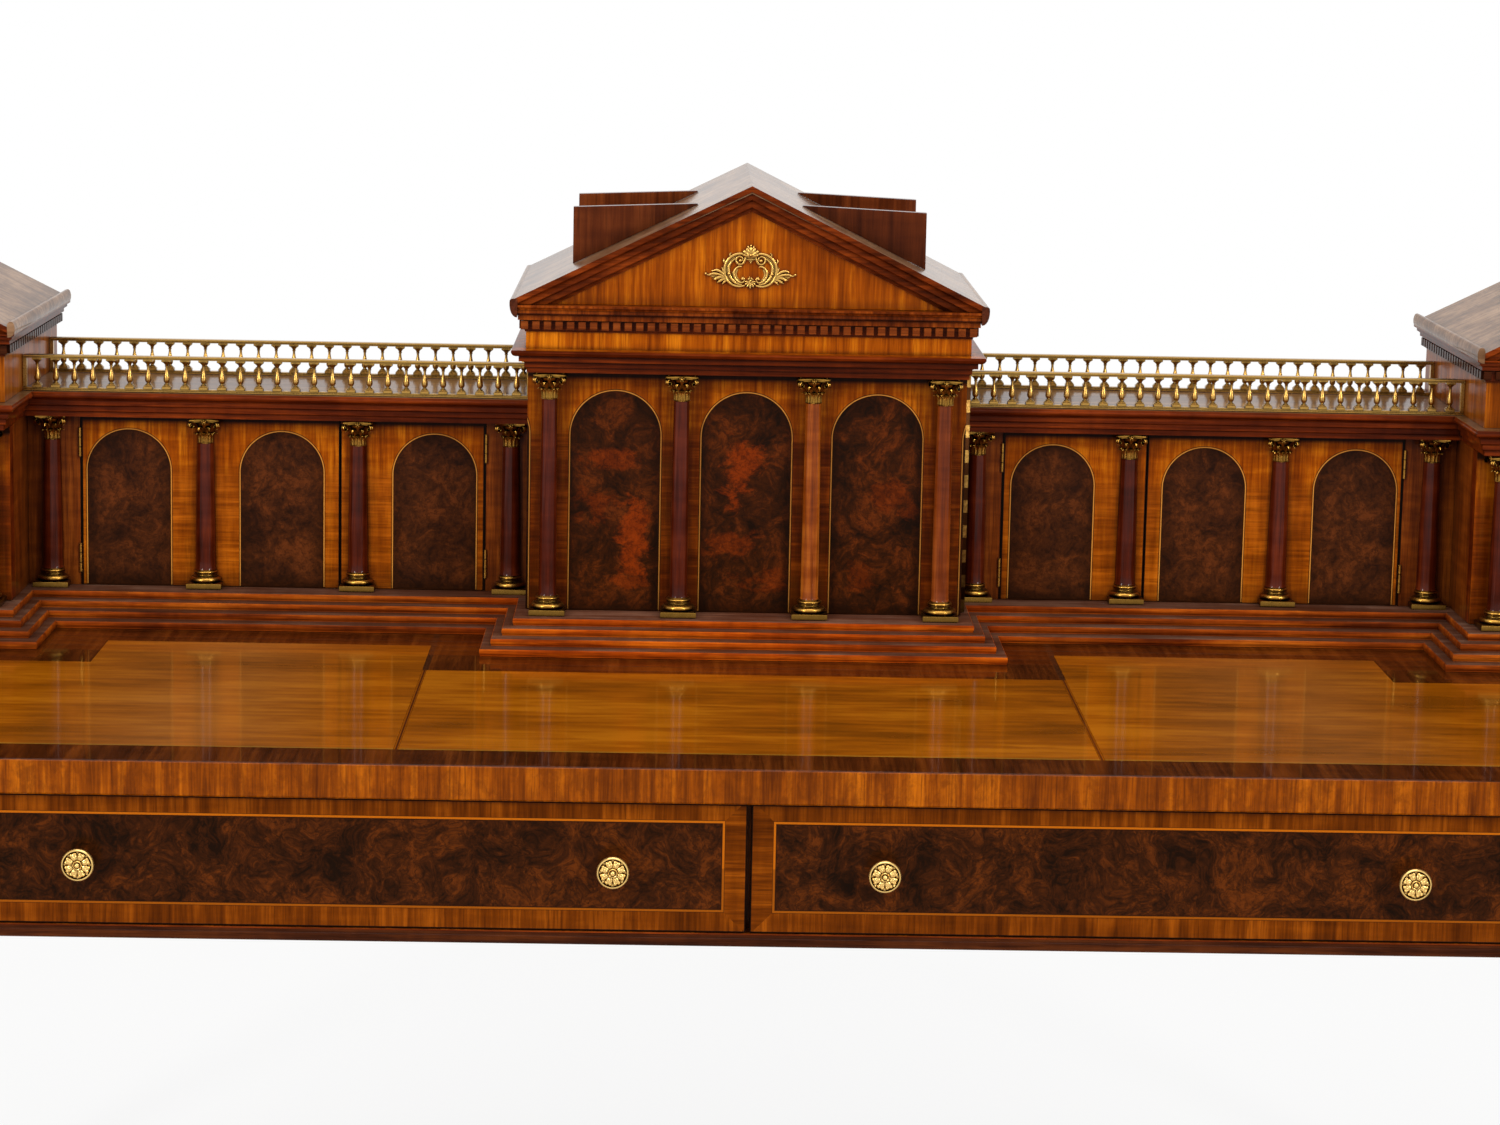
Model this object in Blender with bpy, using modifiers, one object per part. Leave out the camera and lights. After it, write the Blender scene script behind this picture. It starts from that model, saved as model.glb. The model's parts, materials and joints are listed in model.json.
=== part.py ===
# Writing table with a temple-front superstructure, made as separate pieces.
# Metres, +Z up, +X to the right of someone facing the desk, front towards -Y.
# The origin is on the floor under the middle of the whole desk.

import math

import bmesh
import bpy
from mathutils import Matrix, Vector

# Clearances
GAP = 0.0003
RUN = 0.0010
OVERRUN = 0.0050
BITE = 0.0005
MERGE = 0.00005

# Table top
TABLE_HEIGHT = 0.770
TOP_WIDTH = 1.960
TOP_DEPTH = 0.832
TOP_THICK = 0.0315
TOP_EASE = 0.0015

# Leather panels let into the top
LEATHER_THICK = 0.0014
LEATHER_FRONT_BORDER = 0.053
LEATHER_END_BORDER = 0.075
LEATHER_STRIP = 0.004
CENTRE_BORDER = 0.064
CENTRE_SIDE_BORDER = 0.047
WING_BORDER = 0.055
END_BORDER = 0.051
END_SIDE_BORDER = 0.062

# Apron and its dust board
APRON_INSET = 0.006
APRON_HEIGHT = 0.1285
APRON_WALL = 0.020
DUST_BOARD = 0.0115
PARTITION = 0.016

# Legs
LEG_SIZE = 0.060
LEG_FOOT = 0.034

# Drawers
DRAWER_WIDTH = 0.694
DRAWER_PARTING = 0.004
DRAWER_FRONT = 0.018
DRAWER_WALL = 0.011
DRAWER_FLOOR = 0.007
DRAWER_LENGTH = 0.400
DRAWER_SIDE_DROP = 0.012

# Drawer knobs
KNOB_DIAMETER = 0.029
KNOB_LENGTH = 0.024
KNOB_INSET = 0.116
KNOB_SIDES = 20
KNOB_SHARES = (
    (0.00, 1.00), (0.30, 1.00), (0.62, 0.93), (0.80, 0.97), (1.00, 0.88),
    (1.00, 0.74), (0.62, 0.58), (0.38, 0.36), (0.42, 0.12), (0.56, 0.00), (0.00, 0.00),
)

# Stepped platform
STEP_COUNT = 4
STEP_RISE = 0.00775
STEP_TREAD = 0.0137
STEP_SIDE_SHARE = 0.75
PORCH_SIDE = 0.0106
PORCH_FRONT = 0.0085
PLATFORM_BACK_BORDER = 0.024

# Plan of the temple fronts, from the front edge of the top to the plinths
PORTICO_SETBACK = 0.4865
WING_SETBACK = 0.0915
WING_STEP_SETBACK = 0.103
CENTRE_BAY = 0.1325
CENTRE_BAYS = 3
END_BAYS = 1
CORNER_MARGIN = 0.0228
WING_BAY = 0.1582
WING_BAYS = 3
WING_INNER_MARGIN = 0.0207
WING_OUTER_MARGIN = 0.0255

# Heights of the columned storeys
CENTRE_ORDER = 0.2473
WING_ORDER = 0.1795

# Columns
PLINTH = 0.036
PLINTH_HIGH = 0.006
BASE_HIGH = 0.0125
BASE_DIAMETER = 0.032
PORTICO_SHAFT = 0.0180
PORTICO_TAPER_SHARE = 0.86
WING_SHAFT = 0.0215
WING_TAPER_SHARE = 0.82
PORTICO_STANDOFF = 0.0165
WING_STANDOFF = 0.0005
CAPITAL_HIGH = 0.026
CAPITAL_WIDTH = 0.034
ABACUS_HIGH = 0.004
COLUMN_HEADROOM = 0.0020
COLUMN_SIDES = 12
BASE_SHARES = ((1.00, 0.00), (1.00, 0.34), (0.74, 0.44), (0.74, 0.60), (0.86, 0.70), (0.80, 0.95))
CAPITAL_SHARES = ((0.98, 0.00), (0.92, 0.20), (0.56, 0.92), (0.62, 1.00))

# Carcases
SIDE_WALL = 0.010
BACK_WALL = 0.008
SHELF = 0.008
CENTRE_COMPARTMENTS = 3
CENTRE_DEPTH = 0.303
WING_BACK_DEPTH = 0.262
END_BACK_DEPTH = 0.287

# Doors
PORTICO_DOOR = 0.018
WING_DOOR = 0.016
WING_INNER_STILE = 0.0465
WING_OUTER_STILE = 0.0540
BUTT_HINGE_PROUD = 0.0010
HINGE_LEAF = 0.0010
HINGE_LEAF_WIDTH = 0.012
HINGE_KNUCKLE = 0.0054
KNUCKLE_SIDES = 12

# Entablatures and cornices, as shares of projection and of height
FRIEZE_INSET = 0.0052
WING_FRIEZE_PROUD = 0.0185
CENTRE_ENTABLATURE = 0.0690
CENTRE_PROJECTION = 0.016
CENTRE_ENTABLATURE_SHARES = (
    (0.00, 0.00), (0.00, 0.08), (0.12, 0.08), (0.12, 0.17), (0.45, 0.23), (0.93, 0.30),
    (0.93, 0.34), (0.06, 0.35), (0.06, 0.60), (0.30, 0.63), (0.30, 0.78), (0.62, 0.81),
    (0.74, 0.90), (1.00, 0.96), (1.00, 1.00),
)
CORNICE = 0.027
CORNICE_PROJECTION = 0.012
CORNICE_SHARES = (
    (0.00, 0.00), (0.00, 0.27), (0.22, 0.27), (0.22, 0.48), (0.48, 0.56), (0.62, 0.74),
    (1.00, 0.82), (1.00, 1.00),
)
END_ATTIC = 0.0695
END_ATTIC_INSET = 0.008
END_PROJECTION = 0.0125
END_ATTIC_SHARES = (
    (0.00, 0.00), (0.00, 0.69), (0.24, 0.71), (0.24, 0.85), (0.60, 0.88), (0.74, 0.94),
    (1.00, 0.97), (1.00, 1.00),
)

# Roofs
EAVE = 0.004
ROOF_PITCH = 0.496
RAKE = 0.0263
ATTIC_BOARD = 0.010
ATTIC_BOARD_TIP = 0.0535
ATTIC_BOARD_REACH = 0.179
ATTIC_BOARD_FALL = 0.0045
ATTIC_BOARD_FRONT = 0.091
ATTIC_BOARD_BACK = 0.077

# Brass cartouche on the pediment
CARTOUCHE_WIDTH = 0.092
CARTOUCHE_HEIGHT = 0.049
CARTOUCHE_THICK = 0.004
CARTOUCHE_OPENING_WIDTH = 0.026
CARTOUCHE_OPENING_HEIGHT = 0.016
CARTOUCHE_RISE = 0.041
CARTOUCHE_POINTS = 48
CARTOUCHE_BODY_SHARE = 0.34
CARTOUCHE_LOBE_SHARE = 0.05
CARTOUCHE_LOBES = 12

# Brass galleries
GALLERY_HIGH = 0.037
GALLERY_FRONT_INSET = 0.010
GALLERY_REAR_INSET = 0.029
GALLERY_RAIL = 0.0080
GALLERY_RAIL_HIGH = 0.0034
GALLERY_BASE_HIGH = 0.0030
GALLERY_POST = 0.0050
BALUSTERS = 27
BALUSTER_DIAMETER = 0.0080
BALUSTER_SIDES = 6
BALUSTER_SHARES = ((1.00, 1.00), (0.36, 0.76), (0.74, 0.22), (1.00, 0.00))

# Colour, roughness and metallic value of each finish
FINISHES = {
    "gold mahogany": ((0.300, 0.110, 0.022), 0.30, 0.0),
    "red mahogany": ((0.120, 0.026, 0.010), 0.32, 0.0),
    "dark mahogany": ((0.055, 0.016, 0.010), 0.25, 0.0),
    "leather": ((0.330, 0.130, 0.018), 0.35, 0.0),
    "brass": ((0.600, 0.400, 0.140), 0.28, 1.0),
}

# Levels, worked out from the sizes
TOP_UNDERSIDE = TABLE_HEIGHT - TOP_THICK
APRON_TOP = TOP_UNDERSIDE - GAP
APRON_BOTTOM = TOP_UNDERSIDE - APRON_HEIGHT
DRAWER_BED = APRON_BOTTOM + DUST_BOARD
PLATFORM_BOTTOM = TABLE_HEIGHT + GAP
TREAD = PLATFORM_BOTTOM + STEP_COUNT * STEP_RISE
CENTRE_HEAD = TREAD + CENTRE_ORDER
WING_HEAD = TREAD + WING_ORDER
CENTRE_CORNICE_TOP = CENTRE_HEAD + CENTRE_ENTABLATURE
DECK = WING_HEAD + CORNICE

# Depths, worked out from the sizes, with the knobs inside the whole depth
KNOB_PROUD = KNOB_LENGTH + GAP - APRON_INSET
TOP_FRONT = -(TOP_DEPTH - KNOB_PROUD) / 2
TOP_BACK = TOP_FRONT + TOP_DEPTH
APRON_FRONT = TOP_FRONT + APRON_INSET
APRON_BACK = TOP_BACK - APRON_INSET
PORTICO_PLINTHS = TOP_FRONT + PORTICO_SETBACK
PORTICO_FACE = PORTICO_PLINTHS + PLINTH / 2 + PORTICO_STANDOFF
PORTICO_FRIEZE = PORTICO_PLINTHS + FRIEZE_INSET
WING_FACE = PORTICO_FACE + WING_SETBACK
WING_FRIEZE = WING_FACE - WING_FRIEZE_PROUD
CENTRE_BACK = PORTICO_FRIEZE + CENTRE_DEPTH
WING_BACK = PORTICO_FRIEZE + WING_BACK_DEPTH
END_BACK = PORTICO_FRIEZE + END_BACK_DEPTH
PLATFORM_FRONT = PORTICO_PLINTHS - PORCH_FRONT
PLATFORM_BACK = TOP_BACK - PLATFORM_BACK_BORDER
STEP_RUN = (STEP_COUNT - 1) * STEP_TREAD
STEP_SIDE_RUN = STEP_RUN * STEP_SIDE_SHARE

# Widths from the middle of the desk, worked out from the sizes
TOP_HALF = TOP_WIDTH / 2
APRON_HALF = TOP_HALF - APRON_INSET
CENTRE_HALF = CENTRE_BAYS * CENTRE_BAY / 2 + CORNER_MARGIN
WING_COLUMN = CENTRE_HALF + WING_INNER_MARGIN
END_INNER = WING_COLUMN + WING_BAYS * WING_BAY + WING_OUTER_MARGIN
END_WIDTH = END_BAYS * CENTRE_BAY + 2 * CORNER_MARGIN
END_OUTER = END_INNER + END_WIDTH
END_MIDDLE = END_INNER + END_WIDTH / 2
WING_STILE_IN = CENTRE_HALF + WING_INNER_STILE
WING_STILE_OUT = END_INNER - WING_OUTER_STILE
DOOR_SPLIT = WING_COLUMN + WING_BAY + PLINTH / 2 + RUN
DRAWER_INNER = DRAWER_PARTING / 2
DRAWER_OUTER = DRAWER_INNER + DRAWER_WIDTH
BAY_OUTER = DRAWER_OUTER + RUN


# Scene and collections

def clear_scene():
    for thing in list(bpy.data.objects):
        bpy.data.objects.remove(thing)


def new_collection(name):
    group = bpy.data.collections.new(name)
    bpy.context.scene.collection.children.link(group)
    return group


clear_scene()
DESK = new_collection("writing_desk")
CUTTERS = new_collection("cutters")


# Pieces, cutters and materials

def finish_material(name, finish):
    colour, roughness, metallic = FINISHES[finish]
    material = bpy.data.materials.new(name)
    material.use_nodes = True
    shader = material.node_tree.nodes["Principled BSDF"]
    shader.inputs["Base Color"].default_value = (*colour, 1.0)
    shader.inputs["Roughness"].default_value = roughness
    shader.inputs["Metallic"].default_value = metallic
    return material


def add_piece(name, mesh, finish, place=(0.0, 0.0, 0.0)):
    piece = bpy.data.objects.new(name, mesh)
    piece.location = place
    DESK.objects.link(piece)
    # The slot belongs to the object, so that shared meshes can differ in finish.
    if not mesh.materials:
        mesh.materials.append(None)
    piece.material_slots[0].link = "OBJECT"
    piece.material_slots[0].material = finish_material(name, finish)
    return piece


def add_cutter(name, mesh):
    cutter = bpy.data.objects.new(name, mesh)
    cutter.hide_render = True
    cutter.display_type = "WIRE"
    CUTTERS.objects.link(cutter)
    return cutter


def combine(piece, other, operation):
    change = piece.modifiers.new(other.name, "BOOLEAN")
    change.operation = operation
    change.solver = "EXACT"
    change.object = other


def cut_box(piece, label, low, high):
    cutter = add_cutter(piece.name + "_" + label, box_mesh(label, low, high))
    combine(piece, cutter, "DIFFERENCE")


def join_box(piece, label, low, high):
    extra = add_cutter(piece.name + "_" + label, box_mesh(label, low, high))
    combine(piece, extra, "UNION")


def add_pivot(name, place):
    pivot = bpy.data.objects.new(name, None)
    pivot.location = place
    pivot.empty_display_size = PLINTH
    DESK.objects.link(pivot)
    return pivot


def attach(piece, pivot):
    piece.parent = pivot
    piece.location = Vector(piece.location) - Vector(pivot.location)


def baked(thing):
    # Evaluated mesh of an object with modifiers; the object itself is removed.
    bpy.context.view_layer.update()
    graph = bpy.context.evaluated_depsgraph_get()
    mesh = bpy.data.meshes.new_from_object(thing.evaluated_get(graph))
    mesh.name = thing.name
    bpy.data.objects.remove(thing)
    return mesh


# Shapes

def box_mesh(name, low, high):
    low = Vector(low)
    high = Vector(high)
    size = high - low
    shape = bmesh.new()
    place = Matrix.Translation((low + high) / 2) @ Matrix.Diagonal((*size, 1.0))
    bmesh.ops.create_cube(shape, size=1.0, matrix=place)
    mesh = bpy.data.meshes.new(name)
    shape.to_mesh(mesh)
    shape.free()
    return mesh


def span(side, inner, outer):
    # Lowest and highest X of a stretch that lies on one side of the middle.
    return tuple(sorted((side * inner, side * outer)))


def side_box(side, inner, outer, front, back, bottom, top):
    low, high = span(side, inner, outer)
    return (low, front, bottom), (high, back, top)


def grown(outline, skirts, distance):
    # Square-cornered outline with each side moved out by its skirt times the distance.
    corners = []
    for index, corner in enumerate(outline):
        here = Vector(corner)
        before = (here - Vector(outline[index - 1])).normalized()
        after = (Vector(outline[(index + 1) % len(outline)]) - here).normalized()
        move_before = Vector((before.y, -before.x)) * skirts[index - 1]
        move_after = Vector((after.y, -after.x)) * skirts[index]
        corners.append(here + (move_before + move_after) * distance)
    return corners


def moulded_mesh(name, outline, skirts, rings):
    # A moulding carried round a plan outline: rings of (projection, level), bottom first.
    shape = bmesh.new()
    loops = []
    for projection, level in rings:
        loops.append([shape.verts.new((x, y, level)) for x, y in grown(outline, skirts, projection)])
    for lower, upper in zip(loops, loops[1:]):
        for index in range(len(lower)):
            following = (index + 1) % len(lower)
            shape.faces.new((lower[index], lower[following], upper[following], upper[index]))
    shape.faces.new(list(reversed(loops[0])))
    shape.faces.new(loops[-1])
    mesh = bpy.data.meshes.new(name)
    shape.to_mesh(mesh)
    shape.free()
    return mesh


def share_rings(shares, projection, bottom, height):
    return [(out * projection, bottom + up * height) for out, up in shares]


def rectangle(left, right, front, back):
    return [(left, front), (right, front), (right, back), (left, back)]


def on_side(side, outline, skirts):
    # The outline is drawn for the right-hand side; the left-hand one is its mirror image.
    if side > 0:
        return outline, skirts
    corners = [(-x, y) for x, y in reversed(outline)]
    turned_skirts = list(reversed(skirts[:-1])) + [skirts[-1]]
    return corners, turned_skirts


def turned_object(name, profile, sides):
    # The profile runs down the outer side, from the top of the axis to its bottom.
    mesh = bpy.data.meshes.new(name)
    points = [(radius, 0.0, level) for radius, level in profile]
    edges = [(index, index + 1) for index in range(len(points) - 1)]
    mesh.from_pydata(points, edges, [])
    thing = add_cutter(name, mesh)
    turn = thing.modifiers.new("turn", "SCREW")
    turn.steps = sides
    turn.render_steps = sides
    turn.use_merge_vertices = True
    turn.merge_threshold = MERGE
    weld = thing.modifiers.new("weld", "WELD")
    weld.merge_threshold = MERGE
    return thing


def rounded_shading(mesh):
    mesh.shade_smooth()
    mesh.set_sharp_from_angle(angle=math.radians(40.0))
    return mesh


def plate_mesh(name, outlines, front, thick):
    # Flat outlines in X and Z, standing upright and running back from the front plane.
    curve = bpy.data.curves.new(name, "CURVE")
    curve.dimensions = "2D"
    curve.fill_mode = "BOTH"
    curve.extrude = thick / 2
    for outline in outlines:
        spline = curve.splines.new("POLY")
        spline.points.add(len(outline) - 1)
        for point, (x, z) in zip(spline.points, outline):
            point.co = (x, z, 0.0, 1.0)
        spline.use_cyclic_u = True
    guide = add_cutter(name, curve)
    mesh = baked(guide)
    bpy.data.curves.remove(curve)
    shape = bmesh.new()
    shape.from_mesh(mesh)
    bmesh.ops.remove_doubles(shape, verts=shape.verts, dist=MERGE)
    upright = Matrix.Translation((0.0, front + thick / 2, 0.0)) @ Matrix.Rotation(math.pi / 2, 4, "X")
    bmesh.ops.transform(shape, matrix=upright, verts=shape.verts)
    shape.to_mesh(mesh)
    shape.free()
    return mesh


# Table top and leather

def leather_outlines():
    front = TOP_FRONT + LEATHER_FRONT_BORDER
    middle_half = CENTRE_HALF + PORCH_SIDE + STEP_SIDE_RUN + CENTRE_SIDE_BORDER
    middle_back = PLATFORM_FRONT - STEP_RUN - CENTRE_BORDER
    middle = rectangle(-middle_half, middle_half, front, middle_back)
    inner = middle_half + LEATHER_STRIP
    outer = TOP_HALF - LEATHER_END_BORDER
    step = END_INNER - PORCH_SIDE - STEP_SIDE_RUN - END_SIDE_BORDER
    wing_back = PLATFORM_FRONT + WING_STEP_SETBACK - STEP_RUN - WING_BORDER
    end_back = PLATFORM_FRONT - STEP_RUN - END_BORDER
    beside = [
        (inner, front), (outer, front), (outer, end_back),
        (step, end_back), (step, wing_back), (inner, wing_back),
    ]
    outlines = {"leather_centre": middle}
    for side, name in ((-1, "leather_left"), (1, "leather_right")):
        outlines[name] = on_side(side, beside, [1] * len(beside))[0]
    return outlines


def build_top():
    outline = rectangle(-TOP_HALF, TOP_HALF, TOP_FRONT, TOP_BACK)
    rings = [
        (-TOP_EASE, TOP_UNDERSIDE), (0.0, TOP_UNDERSIDE + TOP_EASE),
        (0.0, TABLE_HEIGHT - TOP_EASE), (-TOP_EASE, TABLE_HEIGHT),
    ]
    top = add_piece("desk_top", moulded_mesh("desk_top", outline, [1] * 4, rings), "gold mahogany")
    for name, panel in leather_outlines().items():
        skirts = [1] * len(panel)
        floor = TABLE_HEIGHT - LEATHER_THICK - GAP
        pocket = moulded_mesh(name + "_pocket", panel, skirts, [(0.0, floor), (0.0, TABLE_HEIGHT + OVERRUN)])
        combine(top, add_cutter(name + "_pocket", pocket), "DIFFERENCE")
        skin = moulded_mesh(name, panel, skirts, [(-GAP, floor + GAP), (-GAP, TABLE_HEIGHT)])
        add_piece(name, skin, "leather")


# Apron and legs

def build_apron():
    frame = add_piece("apron_frame", box_mesh(
        "apron_frame", (-APRON_HALF, APRON_FRONT, APRON_BOTTOM), (APRON_HALF, APRON_BACK, APRON_TOP),
    ), "gold mahogany")
    bay_back = APRON_FRONT + DRAWER_LENGTH + RUN
    below = APRON_BOTTOM - OVERRUN
    above = APRON_TOP + OVERRUN
    before = APRON_FRONT - OVERRUN
    for side, label in ((-1, "left"), (1, "right")):
        bay = side_box(side, PARTITION / 2, BAY_OUTER, before, bay_back, DRAWER_BED, above)
        cut_box(frame, label + "_bay", *bay)
        hollow_in = BAY_OUTER + APRON_WALL
        deep = side_box(side, hollow_in, APRON_HALF - APRON_WALL, APRON_FRONT + LEG_SIZE + APRON_WALL,
                        APRON_BACK - LEG_SIZE - APRON_WALL, below, above)
        cut_box(frame, label + "_hollow", *deep)
        wide = side_box(side, hollow_in, APRON_HALF - LEG_SIZE - APRON_WALL, APRON_FRONT + APRON_WALL,
                        APRON_BACK - APRON_WALL, below, above)
        cut_box(frame, label + "_end_hollow", *wide)
        notch_in = APRON_HALF - LEG_SIZE - GAP
        notch_out = APRON_HALF + OVERRUN
        front_notch = side_box(side, notch_in, notch_out, before, APRON_FRONT + LEG_SIZE + GAP, below, above)
        cut_box(frame, label + "_front_notch", *front_notch)
        back_notch = side_box(side, notch_in, notch_out, APRON_BACK - LEG_SIZE - GAP,
                              APRON_BACK + OVERRUN, below, above)
        cut_box(frame, label + "_back_notch", *back_notch)
    lip = PARTITION / 2 + OVERRUN
    cut_box(frame, "parting", (-lip, before, DRAWER_BED), (lip, APRON_FRONT + DRAWER_FRONT + RUN, above))
    rear_low = (-BAY_OUTER, bay_back + APRON_WALL, below)
    cut_box(frame, "rear_hollow", rear_low, (BAY_OUTER, APRON_BACK - APRON_WALL, above))


def build_legs():
    taper = (LEG_SIZE - LEG_FOOT) / 2
    rings = [(-taper, 0.0), (0.0, APRON_BOTTOM), (0.0, APRON_TOP)]
    rows = (("front", APRON_FRONT), ("rear", APRON_BACK - LEG_SIZE))
    for row, front in rows:
        for side, label in ((-1, "left"), (1, "right")):
            name = "leg_" + row + "_" + label
            low, high = span(side, APRON_HALF - LEG_SIZE, APRON_HALF)
            mesh = moulded_mesh(name, rectangle(low, high, front, front + LEG_SIZE), [1] * 4, rings)
            add_piece(name, mesh, "gold mahogany")


# Drawers

def knob_mesh():
    radius = KNOB_DIAMETER / 2
    profile = [(out * radius, up * KNOB_LENGTH) for out, up in KNOB_SHARES]
    return rounded_shading(baked(turned_object("knob", profile, KNOB_SIDES)))


def build_drawer(side, label, knob):
    slide = add_pivot(label + "_drawer_slide", (side * (DRAWER_INNER + DRAWER_OUTER) / 2, APRON_FRONT, DRAWER_BED))
    front_top = APRON_TOP - RUN
    body_inner = PARTITION / 2 + RUN
    body_top = front_top - DRAWER_SIDE_DROP
    body_bottom = DRAWER_BED + GAP
    face = side_box(side, DRAWER_INNER, DRAWER_OUTER, APRON_FRONT, APRON_FRONT + DRAWER_FRONT,
                    DRAWER_BED + RUN, front_top)
    name = "drawer_" + label
    drawer = add_piece(name, box_mesh(name, *face), "gold mahogany")
    body = side_box(side, body_inner, DRAWER_OUTER, APRON_FRONT + DRAWER_FRONT - BITE,
                    APRON_FRONT + DRAWER_LENGTH, body_bottom, body_top)
    join_box(drawer, "body", *body)
    inside = side_box(side, body_inner + DRAWER_WALL, DRAWER_OUTER - DRAWER_WALL,
                      APRON_FRONT + DRAWER_FRONT + BITE, APRON_FRONT + DRAWER_LENGTH - DRAWER_WALL,
                      body_bottom + DRAWER_FLOOR, front_top + OVERRUN)
    cut_box(drawer, "inside", *inside)
    attach(drawer, slide)
    places = (("inner", DRAWER_INNER + KNOB_INSET), ("outer", DRAWER_OUTER - KNOB_INSET))
    for place, x in places:
        level = (DRAWER_BED + APRON_TOP) / 2
        handle = add_piece("knob_" + label + "_" + place, knob, "brass", (side * x, APRON_FRONT - GAP, level))
        handle.rotation_euler = (math.pi / 2, 0.0, 0.0)
        attach(handle, slide)


# Stepped platform

def build_platform():
    centre = CENTRE_HALF + PORCH_SIDE
    inner = END_INNER - PORCH_SIDE
    outer = END_OUTER + PORCH_SIDE
    front = PLATFORM_FRONT
    wing = PLATFORM_FRONT + WING_STEP_SETBACK
    right = [(centre, front), (centre, wing), (inner, wing), (inner, front), (outer, front)]
    left = [(-x, y) for x, y in reversed(right)]
    outline = right + [(outer, PLATFORM_BACK), (-outer, PLATFORM_BACK)] + left
    side = STEP_SIDE_SHARE
    skirts = [side, 1, side, 1, side, 0, side, 1, side, 1, side, 1]
    rings = []
    for step in range(STEP_COUNT):
        projection = (STEP_COUNT - 1 - step) * STEP_TREAD
        rings.append((projection, PLATFORM_BOTTOM + step * STEP_RISE))
        rings.append((projection, PLATFORM_BOTTOM + (step + 1) * STEP_RISE))
    add_piece("steps_platform", moulded_mesh("steps_platform", outline, skirts, rings), "red mahogany")


# Columns

def column_mesh(height, shaft, taper_share, standoff):
    base_bottom = PLINTH_HIGH - BITE
    base_top = PLINTH_HIGH + BASE_HIGH
    capital_bottom = height - CAPITAL_HIGH
    bell_top = height - ABACUS_HIGH + BITE
    bell_high = bell_top - capital_bottom
    radius = shaft / 2
    base = BASE_DIAMETER / 2
    bell = CAPITAL_WIDTH / 2
    profile = [(0.0, bell_top)]
    profile += [(out * bell, bell_top - down * bell_high) for out, down in CAPITAL_SHARES]
    profile += [(radius * taper_share, capital_bottom - BITE), (radius, base_top)]
    profile += [(out * base, base_bottom + up * BASE_HIGH) for out, up in reversed(BASE_SHARES)]
    profile += [(0.0, base_bottom)]
    pattern = turned_object("column", profile, COLUMN_SIDES)
    half = PLINTH / 2
    abacus = CAPITAL_WIDTH / 2
    back = standoff - GAP
    join_box(pattern, "plinth", (-half, -half, 0.0), (half, half, PLINTH_HIGH))
    join_box(pattern, "abacus", (-abacus, -abacus, height - ABACUS_HIGH), (abacus, abacus, height))
    cut_box(pattern, "back", (-PLINTH, back, -OVERRUN), (PLINTH, PLINTH, height + OVERRUN))
    return rounded_shading(baked(pattern))


def portico_column_mesh(height):
    return column_mesh(height, PORTICO_SHAFT, PORTICO_TAPER_SHARE, PORTICO_STANDOFF)


def wing_column_mesh(height):
    return column_mesh(height, WING_SHAFT, WING_TAPER_SHARE, WING_STANDOFF)


def place_column(name, mesh, x, axis, foot, pivot=None):
    column = add_piece(name, mesh, "dark mahogany", (x, axis, foot))
    if pivot:
        attach(column, pivot)


# Centre pavilion

def hollow_out(carcase, label, left, right, front, back, bottom, top, count):
    # Equal compartments one above another, with shelves between them.
    pitch = (top - bottom + SHELF) / count
    for index in range(count):
        floor = bottom + index * pitch
        cut_box(carcase, label + str(index), (left, front, floor), (right, back, floor + pitch - SHELF))


def build_centre_carcase():
    front = PORTICO_FACE + PORTICO_DOOR + 2 * GAP + HINGE_LEAF
    low = (-CENTRE_HALF, front, TREAD + GAP)
    high = (CENTRE_HALF, CENTRE_BACK, CENTRE_HEAD - GAP)
    carcase = add_piece("centre_carcase", box_mesh("centre_carcase", low, high), "gold mahogany")
    inside = CENTRE_HALF - SIDE_WALL
    hollow_out(carcase, "shelf", -inside, inside, front - OVERRUN, CENTRE_BACK - BACK_WALL,
               low[2] + SHELF, high[2] - SHELF, CENTRE_COMPARTMENTS)


def build_centre_door(column):
    leaf_front = PORTICO_FACE + PORTICO_DOOR + GAP
    axis_x = CENTRE_HALF + GAP + HINGE_KNUCKLE / 2
    pivot = add_pivot("centre_door_pivot", (axis_x, leaf_front + HINGE_LEAF / 2, TREAD))
    low = (-CENTRE_HALF, PORTICO_FACE, TREAD + RUN)
    high = (CENTRE_HALF, PORTICO_FACE + PORTICO_DOOR, CENTRE_HEAD - RUN)
    door = add_piece("centre_door", box_mesh("centre_door", low, high), "gold mahogany")
    attach(door, pivot)
    for index in range(CENTRE_BAYS + 1):
        x = (index - CENTRE_BAYS / 2) * CENTRE_BAY
        name = "centre_column_" + str(index + 1)
        place_column(name, column, x, PORTICO_FACE - PORTICO_STANDOFF, TREAD + RUN, pivot)
    build_piano_hinge(axis_x, leaf_front)


def build_piano_hinge(axis_x, leaf_front):
    radius = HINGE_KNUCKLE / 2
    bottom = TREAD + RUN
    top = CENTRE_HEAD - RUN
    profile = [(0.0, top), (radius, top), (radius, bottom), (0.0, bottom)]
    mesh = rounded_shading(baked(turned_object("knuckle", profile, KNUCKLE_SIDES)))
    hinge = add_piece("piano_hinge", mesh, "brass", (axis_x, leaf_front + HINGE_LEAF / 2, 0.0))
    leaf_low = (CENTRE_HALF - HINGE_LEAF_WIDTH, leaf_front, bottom)
    join_box(hinge, "leaf", leaf_low, (axis_x, leaf_front + HINGE_LEAF, top))


def build_centre_entablature():
    outline = rectangle(-CENTRE_HALF, CENTRE_HALF, PORTICO_FRIEZE, CENTRE_BACK)
    rings = share_rings(CENTRE_ENTABLATURE_SHARES, CENTRE_PROJECTION, CENTRE_HEAD, CENTRE_ENTABLATURE)
    mesh = moulded_mesh("centre_entablature", outline, [1] * 4, rings)
    add_piece("centre_entablature", mesh, "red mahogany")


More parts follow.
